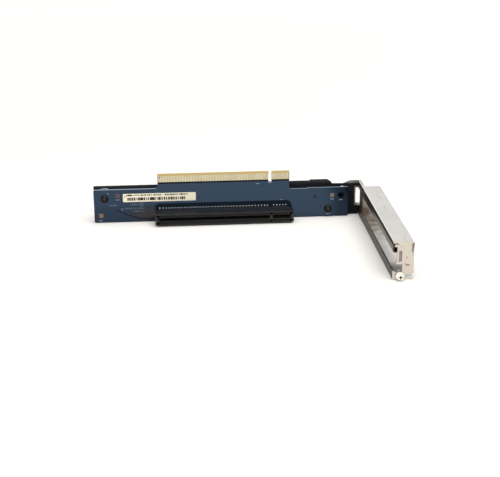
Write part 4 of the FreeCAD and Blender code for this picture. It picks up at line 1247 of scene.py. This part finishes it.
@dataclass
class SlotCage:
    """The plated cage with its guide rail, rivets, card screw and washer."""

    space: CardSpace
    edge_break: float = 0.1
    end_face: float = -112.3
    front_skin: float = 0.3
    plate_skin: float = 0.5
    inner_x: float = 134.1
    right_x: float = 145.3
    roof: float = 21.5
    stop_back: float = 1.6
    # Inside, the painted shade is full up to one Y and gone from the next, and a band of painted
    # shade lies further on.
    shaded_y: float = -27.0
    lit_y: float = -54.0
    shade_band_y: float = -98.5
    # Outside, painted shade darkens the top at the far end, where the carrier bracket sits.
    outside_shaded_y: float = -3.0
    outside_lit_y: float = -10.0
    # A sheared edge is a thin face as wide as the sheet, less its broken edges.
    cut_thin: float = 0.05
    cut_narrow: float = 0.5
    cut_wide: float = 0.95
    recess_radius: float = 1.5
    tooth_degrees: int = 30
    leaf: Mark = Mark(138.2, 13.2, 3.4, 7.2)
    leaf_face: float = -110.9
    leaf_thick: float = 0.4
    leaf_round: float = 0.5
    scuff_thick: float = 0.03
    scuff_round: float = 0.2
    scuff_marks: tuple[Mark, ...] = (
        Mark(141.2, 13.1, 0.9, 0.35), Mark(141.2, 12.1, 0.4, 0.5),
        Mark(141.9, 8.3, 2.0, 0.55), Mark(140.7, 8.9, 0.45, 0.9))

    def build(self) -> None:
        """Build and dress the cage."""
        cage = softened("slot_cage", "cage_pressing", self.edge_break)
        outside = ShadedSheetFinish(
            # Pre-plated sheet steel: pale silver and even, darkened with painted shade by the
            # bracket.
            "tin_plated_sheet_steel", "DBDAD7", "E3E2DF", 0.3, metallic=1.0, cloud_mm=22.0,
            grain_mm=0.5, grain_along=(1.0, 0.12, 1.0), shade_tone="918E8A",
            shaded_at=self.space.at(0, self.outside_shaded_y, 0).y,
            lit_at=self.space.at(0, self.outside_lit_y, 0).y)
        dress(cage, outside)
        inside = ShadedSheetFinish(
            # Painted shade browns the plating towards the far end, and a band of it lies near the
            # end plate.
            "plated_steel_painted_shade", "ECEBE8", "F4F3F1", 0.4, metallic=0.7, cloud_mm=9.0,
            grain_mm=0.5, shade_tone="857463", shaded_at=self.space.at(0, self.shaded_y, 0).y,
            lit_at=self.space.at(0, self.lit_y, 0).y,
            shade_band_at=self.space.at(0, self.shade_band_y, 0).y)
        repaint(cage, inside, self.is_inside)
        repaint(cage, FOLD_HIGHLIGHT, self.is_upper_fold)
        repaint(cage, SHADED_WALL, self.is_shaded_wall)
        repaint(cage, WARM_LIT_SHEET, self.is_end_plate)
        repaint(cage, SHEARED_EDGE, lambda face: self.is_sheared(cage, face))
        rail = softened("upper_guide_rail", "guide_rail_pressing", self.edge_break)
        dress(rail, SHADED_RAIL_SHEET)
        for name in ("cage_rivet_lower", "cage_rivet_upper"):
            dress_node(name, RIVET_ALUMINIUM)
        dress_node("card_screw", BRIGHT_NICKEL)
        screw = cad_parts["card_screw"]
        # The card screw's cross recess is painted near black as painted shade.
        repaint(screw, SCORCHED_COPPER_AND_RECESS_SHADE, lambda face: in_a_recess(screw, face, self.recess_radius))
        # The washer is painted in alternate sectors, black and bright nickel, as painted shade and
        # highlight on its teeth.
        dress_node("card_screw_washer", BLACK_OXIDE)
        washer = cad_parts["card_screw_washer"]
        repaint(washer, BRIGHT_NICKEL, lambda face: self.is_highlighted_tooth(washer, face))
        self.hook_leaf()
        self.scuffs()

    def hook_leaf(self) -> None:
        """Stand the dark inner leaf of the hook behind the end plate's narrow opening."""
        leaf = printed_mark(self.space, self.leaf, self.leaf_face, self.leaf_thick,
                            self.leaf_round)
        leaf.name = "hook_inner_leaf"
        dress(settled(leaf), SHADED_LEAF)

    def is_highlighted_tooth(self, washer: bpy.types.Object, face: bpy.types.MeshPolygon) -> bool:
        """Say whether a face is on one of the washer's teeth that take a painted highlight."""
        middle = sum((Vector(corner) for corner in washer.bound_box), Vector()) / 8
        angle = math.degrees(math.atan2(face.center.z - middle.z, face.center.x - middle.x))
        return (face.normal.y < -FRONT
                and int((angle + 360) // self.tooth_degrees) % 2 == 0)

    def is_inside(self, face: bpy.types.MeshPolygon) -> bool:
        """Say whether a face lines the channel behind the card window."""
        place = self.space.place(face)
        return (self.inner_x - SKIN < place.x < self.right_x - self.edge_break
                and self.end_face + self.plate_skin < place.y < self.stop_back
                and place.z < self.roof - SKIN)

    def is_shaded_wall(self, face: bpy.types.MeshPolygon) -> bool:
        """Say whether a face is on the outside of the wall with the window."""
        place = self.space.place(face)
        return (face.normal.x < -OUTWARD and place.x < self.inner_x
                and place.y < self.stop_back and face.normal.z < ROUNDED)

    def is_upper_fold(self, face: bpy.types.MeshPolygon) -> bool:
        """Say whether a face is on the long fold between the roof and the window's rim."""
        place = self.space.place(face)
        return (place.z > self.roof and place.x < self.inner_x + self.edge_break
                and ROUNDED < face.normal.z < LEVEL and face.normal.x < 0)

    def is_end_plate(self, face: bpy.types.MeshPolygon) -> bool:
        """Say whether a face is on the front of the end plate."""
        place = self.space.place(face)
        return face.normal.y < -FRONT and place.y < self.end_face + self.front_skin

    def is_sheared(self, cage: bpy.types.Object, face: bpy.types.MeshPolygon) -> bool:
        """Say whether a face is a sheared edge, by its width of one sheet."""
        thin, middle, _ = spans(cage, face)
        return thin < self.cut_thin and self.cut_narrow < middle < self.cut_wide

    def scuffs(self) -> None:
        """Leave the small dark rub marks on the end plate."""
        pieces = [printed_mark(self.space, mark, self.end_face, self.scuff_thick,
                               self.scuff_round) for mark in self.scuff_marks]
        dress(joined(pieces, "end_plate_scuffs"), LABEL_INK)


@dataclass
class Studio:
    """A white table under soft light, and the camera."""

    # All in metres, and the lamp's power in watts.
    floor_size: float = 12.0
    floor_colour: str = "F1EEE9"
    floor_rise: tuple[float, float, float] = (0.0, 1.0, 3.0)
    # The far sheet's glow, and the distances at which it starts and is full.
    floor_glow: float = 0.26
    glow_from: float = 0.3
    glow_full: float = 0.95
    world_light: float = 0.72
    lamp_power: float = 9.0
    lamp_size: float = 1.1
    lamp_place: tuple[float, float, float] = (0.15, -0.25, 0.95)
    lamp_aim: tuple[float, float, float] = (0.0, 0.0, 0.01)
    camera_place: tuple[float, float, float] = (-0.04785, -0.6539, 0.2472)
    camera_right: tuple[float, float, float] = (0.9968, -0.0804, -0.0031)
    camera_up: tuple[float, float, float] = (0.0306, 0.3438, 0.9386)
    lens_mm: float = 82.8
    sensor_mm: float = 36.0

    def build(self) -> None:
        """Set up the floor, the light and the camera."""
        self.floor()
        self.world()
        self.lamp()
        self.camera()
        bpy.context.scene.view_settings.view_transform = "Standard"

    def floor(self) -> None:
        """Lay the table: a sheet that rises far behind, where it is white to the camera."""
        bpy.ops.mesh.primitive_plane_add(size=self.floor_size)
        floor = bpy.context.object
        floor.name = "table_sheet"
        with edit_mode(floor):
            choose(floor, Kind.EDGE, lambda edge: min(end.co.y for end in edge.verts) > 0)
            bpy.ops.mesh.extrude_region_move(TRANSFORM_OT_translate={"value": self.floor_rise})
        material = bpy.data.materials.new("white_card")
        material.use_nodes = True
        tree = material.node_tree
        tree.nodes.clear()
        seen = self.seen_directly(tree)
        card = add_node(tree, "ShaderNodeBsdfDiffuse", {"Color": linear(self.floor_colour)})
        # The part's shadow stays plain beside it; only the far sheet is lifted to white.
        place = add_node(tree, "ShaderNodeTexCoord").outputs["Object"]
        reach = add_node(tree, "ShaderNodeVectorMath", {0: place},
                         operation="LENGTH").outputs["Value"]
        far = add_node(tree, "ShaderNodeMapRange", {
            "Value": reach, "From Min": self.glow_from, "From Max": self.glow_full,
            "To Max": self.floor_glow}).outputs["Result"]
        glow = add_node(tree, "ShaderNodeMath", {0: seen, 1: far},
                        operation="MULTIPLY").outputs["Value"]
        lit = add_node(tree, "ShaderNodeEmission", {"Strength": glow})
        both = add_node(tree, "ShaderNodeAddShader", {
            0: card.outputs["BSDF"], 1: lit.outputs["Emission"]})
        add_node(tree, "ShaderNodeOutputMaterial", {"Surface": both.outputs["Shader"]})
        floor.data.materials.append(material)

    def seen_directly(self, tree: bpy.types.NodeTree) -> bpy.types.NodeSocket:
        """Tell rays from the camera, a mirror or glass from those that only light.

        Args:
            tree: the node tree.

        Returns:
            A socket that is 1 for such rays and 0 for the rest.
        """
        path = add_node(tree, "ShaderNodeLightPath")
        mirrored = add_node(tree, "ShaderNodeMath", {
            0: path.outputs["Is Camera Ray"], 1: path.outputs["Is Glossy Ray"]},
            operation="MAXIMUM").outputs["Value"]
        return add_node(tree, "ShaderNodeMath", {
            0: mirrored, 1: path.outputs["Is Transmission Ray"]},
            operation="MAXIMUM").outputs["Value"]

    def world(self) -> None:
        """Surround the table with even white light, plain white where it is seen."""
        world = bpy.data.worlds.new("light_tent")
        bpy.context.scene.world = world
        world.use_nodes = True
        tree = world.node_tree
        tree.nodes.clear()
        strength = add_node(tree, "ShaderNodeMapRange", {
            "Value": self.seen_directly(tree), "To Min": self.world_light,
            "To Max": 1.0}).outputs["Result"]
        tent = add_node(tree, "ShaderNodeBackground", {
            "Color": (1.0, 1.0, 1.0, 1.0), "Strength": strength})
        add_node(tree, "ShaderNodeOutputWorld", {"Surface": tent.outputs["Background"]})

    def lamp(self) -> None:
        """Hang one large soft lamp over the table."""
        bpy.ops.object.light_add(type="AREA", location=self.lamp_place)
        lamp = bpy.context.object
        lamp.name = "softbox"
        lamp.data.energy = self.lamp_power
        lamp.data.size = self.lamp_size
        aim = Vector(self.lamp_aim) - Vector(self.lamp_place)
        lamp.rotation_euler = aim.to_track_quat("-Z", "Y").to_euler()

    def camera(self) -> None:
        """Set the camera about 20 degrees above the table, a little to the left."""
        bpy.ops.object.camera_add(location=self.camera_place)
        camera = bpy.context.object
        right = Vector(self.camera_right).normalized()
        back = right.cross(Vector(self.camera_up)).normalized()
        up = back.cross(right)
        camera.rotation_euler = Matrix((right, up, back)).transposed().to_euler()
        camera.data.lens = self.lens_mm
        camera.data.sensor_width = self.sensor_mm
        bpy.context.scene.camera = camera


def main() -> None:
    """Build the card and its studio in order."""
    space = CardSpace.find()
    for assembly in (PrintedBoard(space), Label(space), CardSlot(space), CarrierBracket(space),
                     SlotCage(space), Studio()):
        assembly.build()
        log.info("%s done", type(assembly).__name__)


if __name__ == "__main__":
    main()
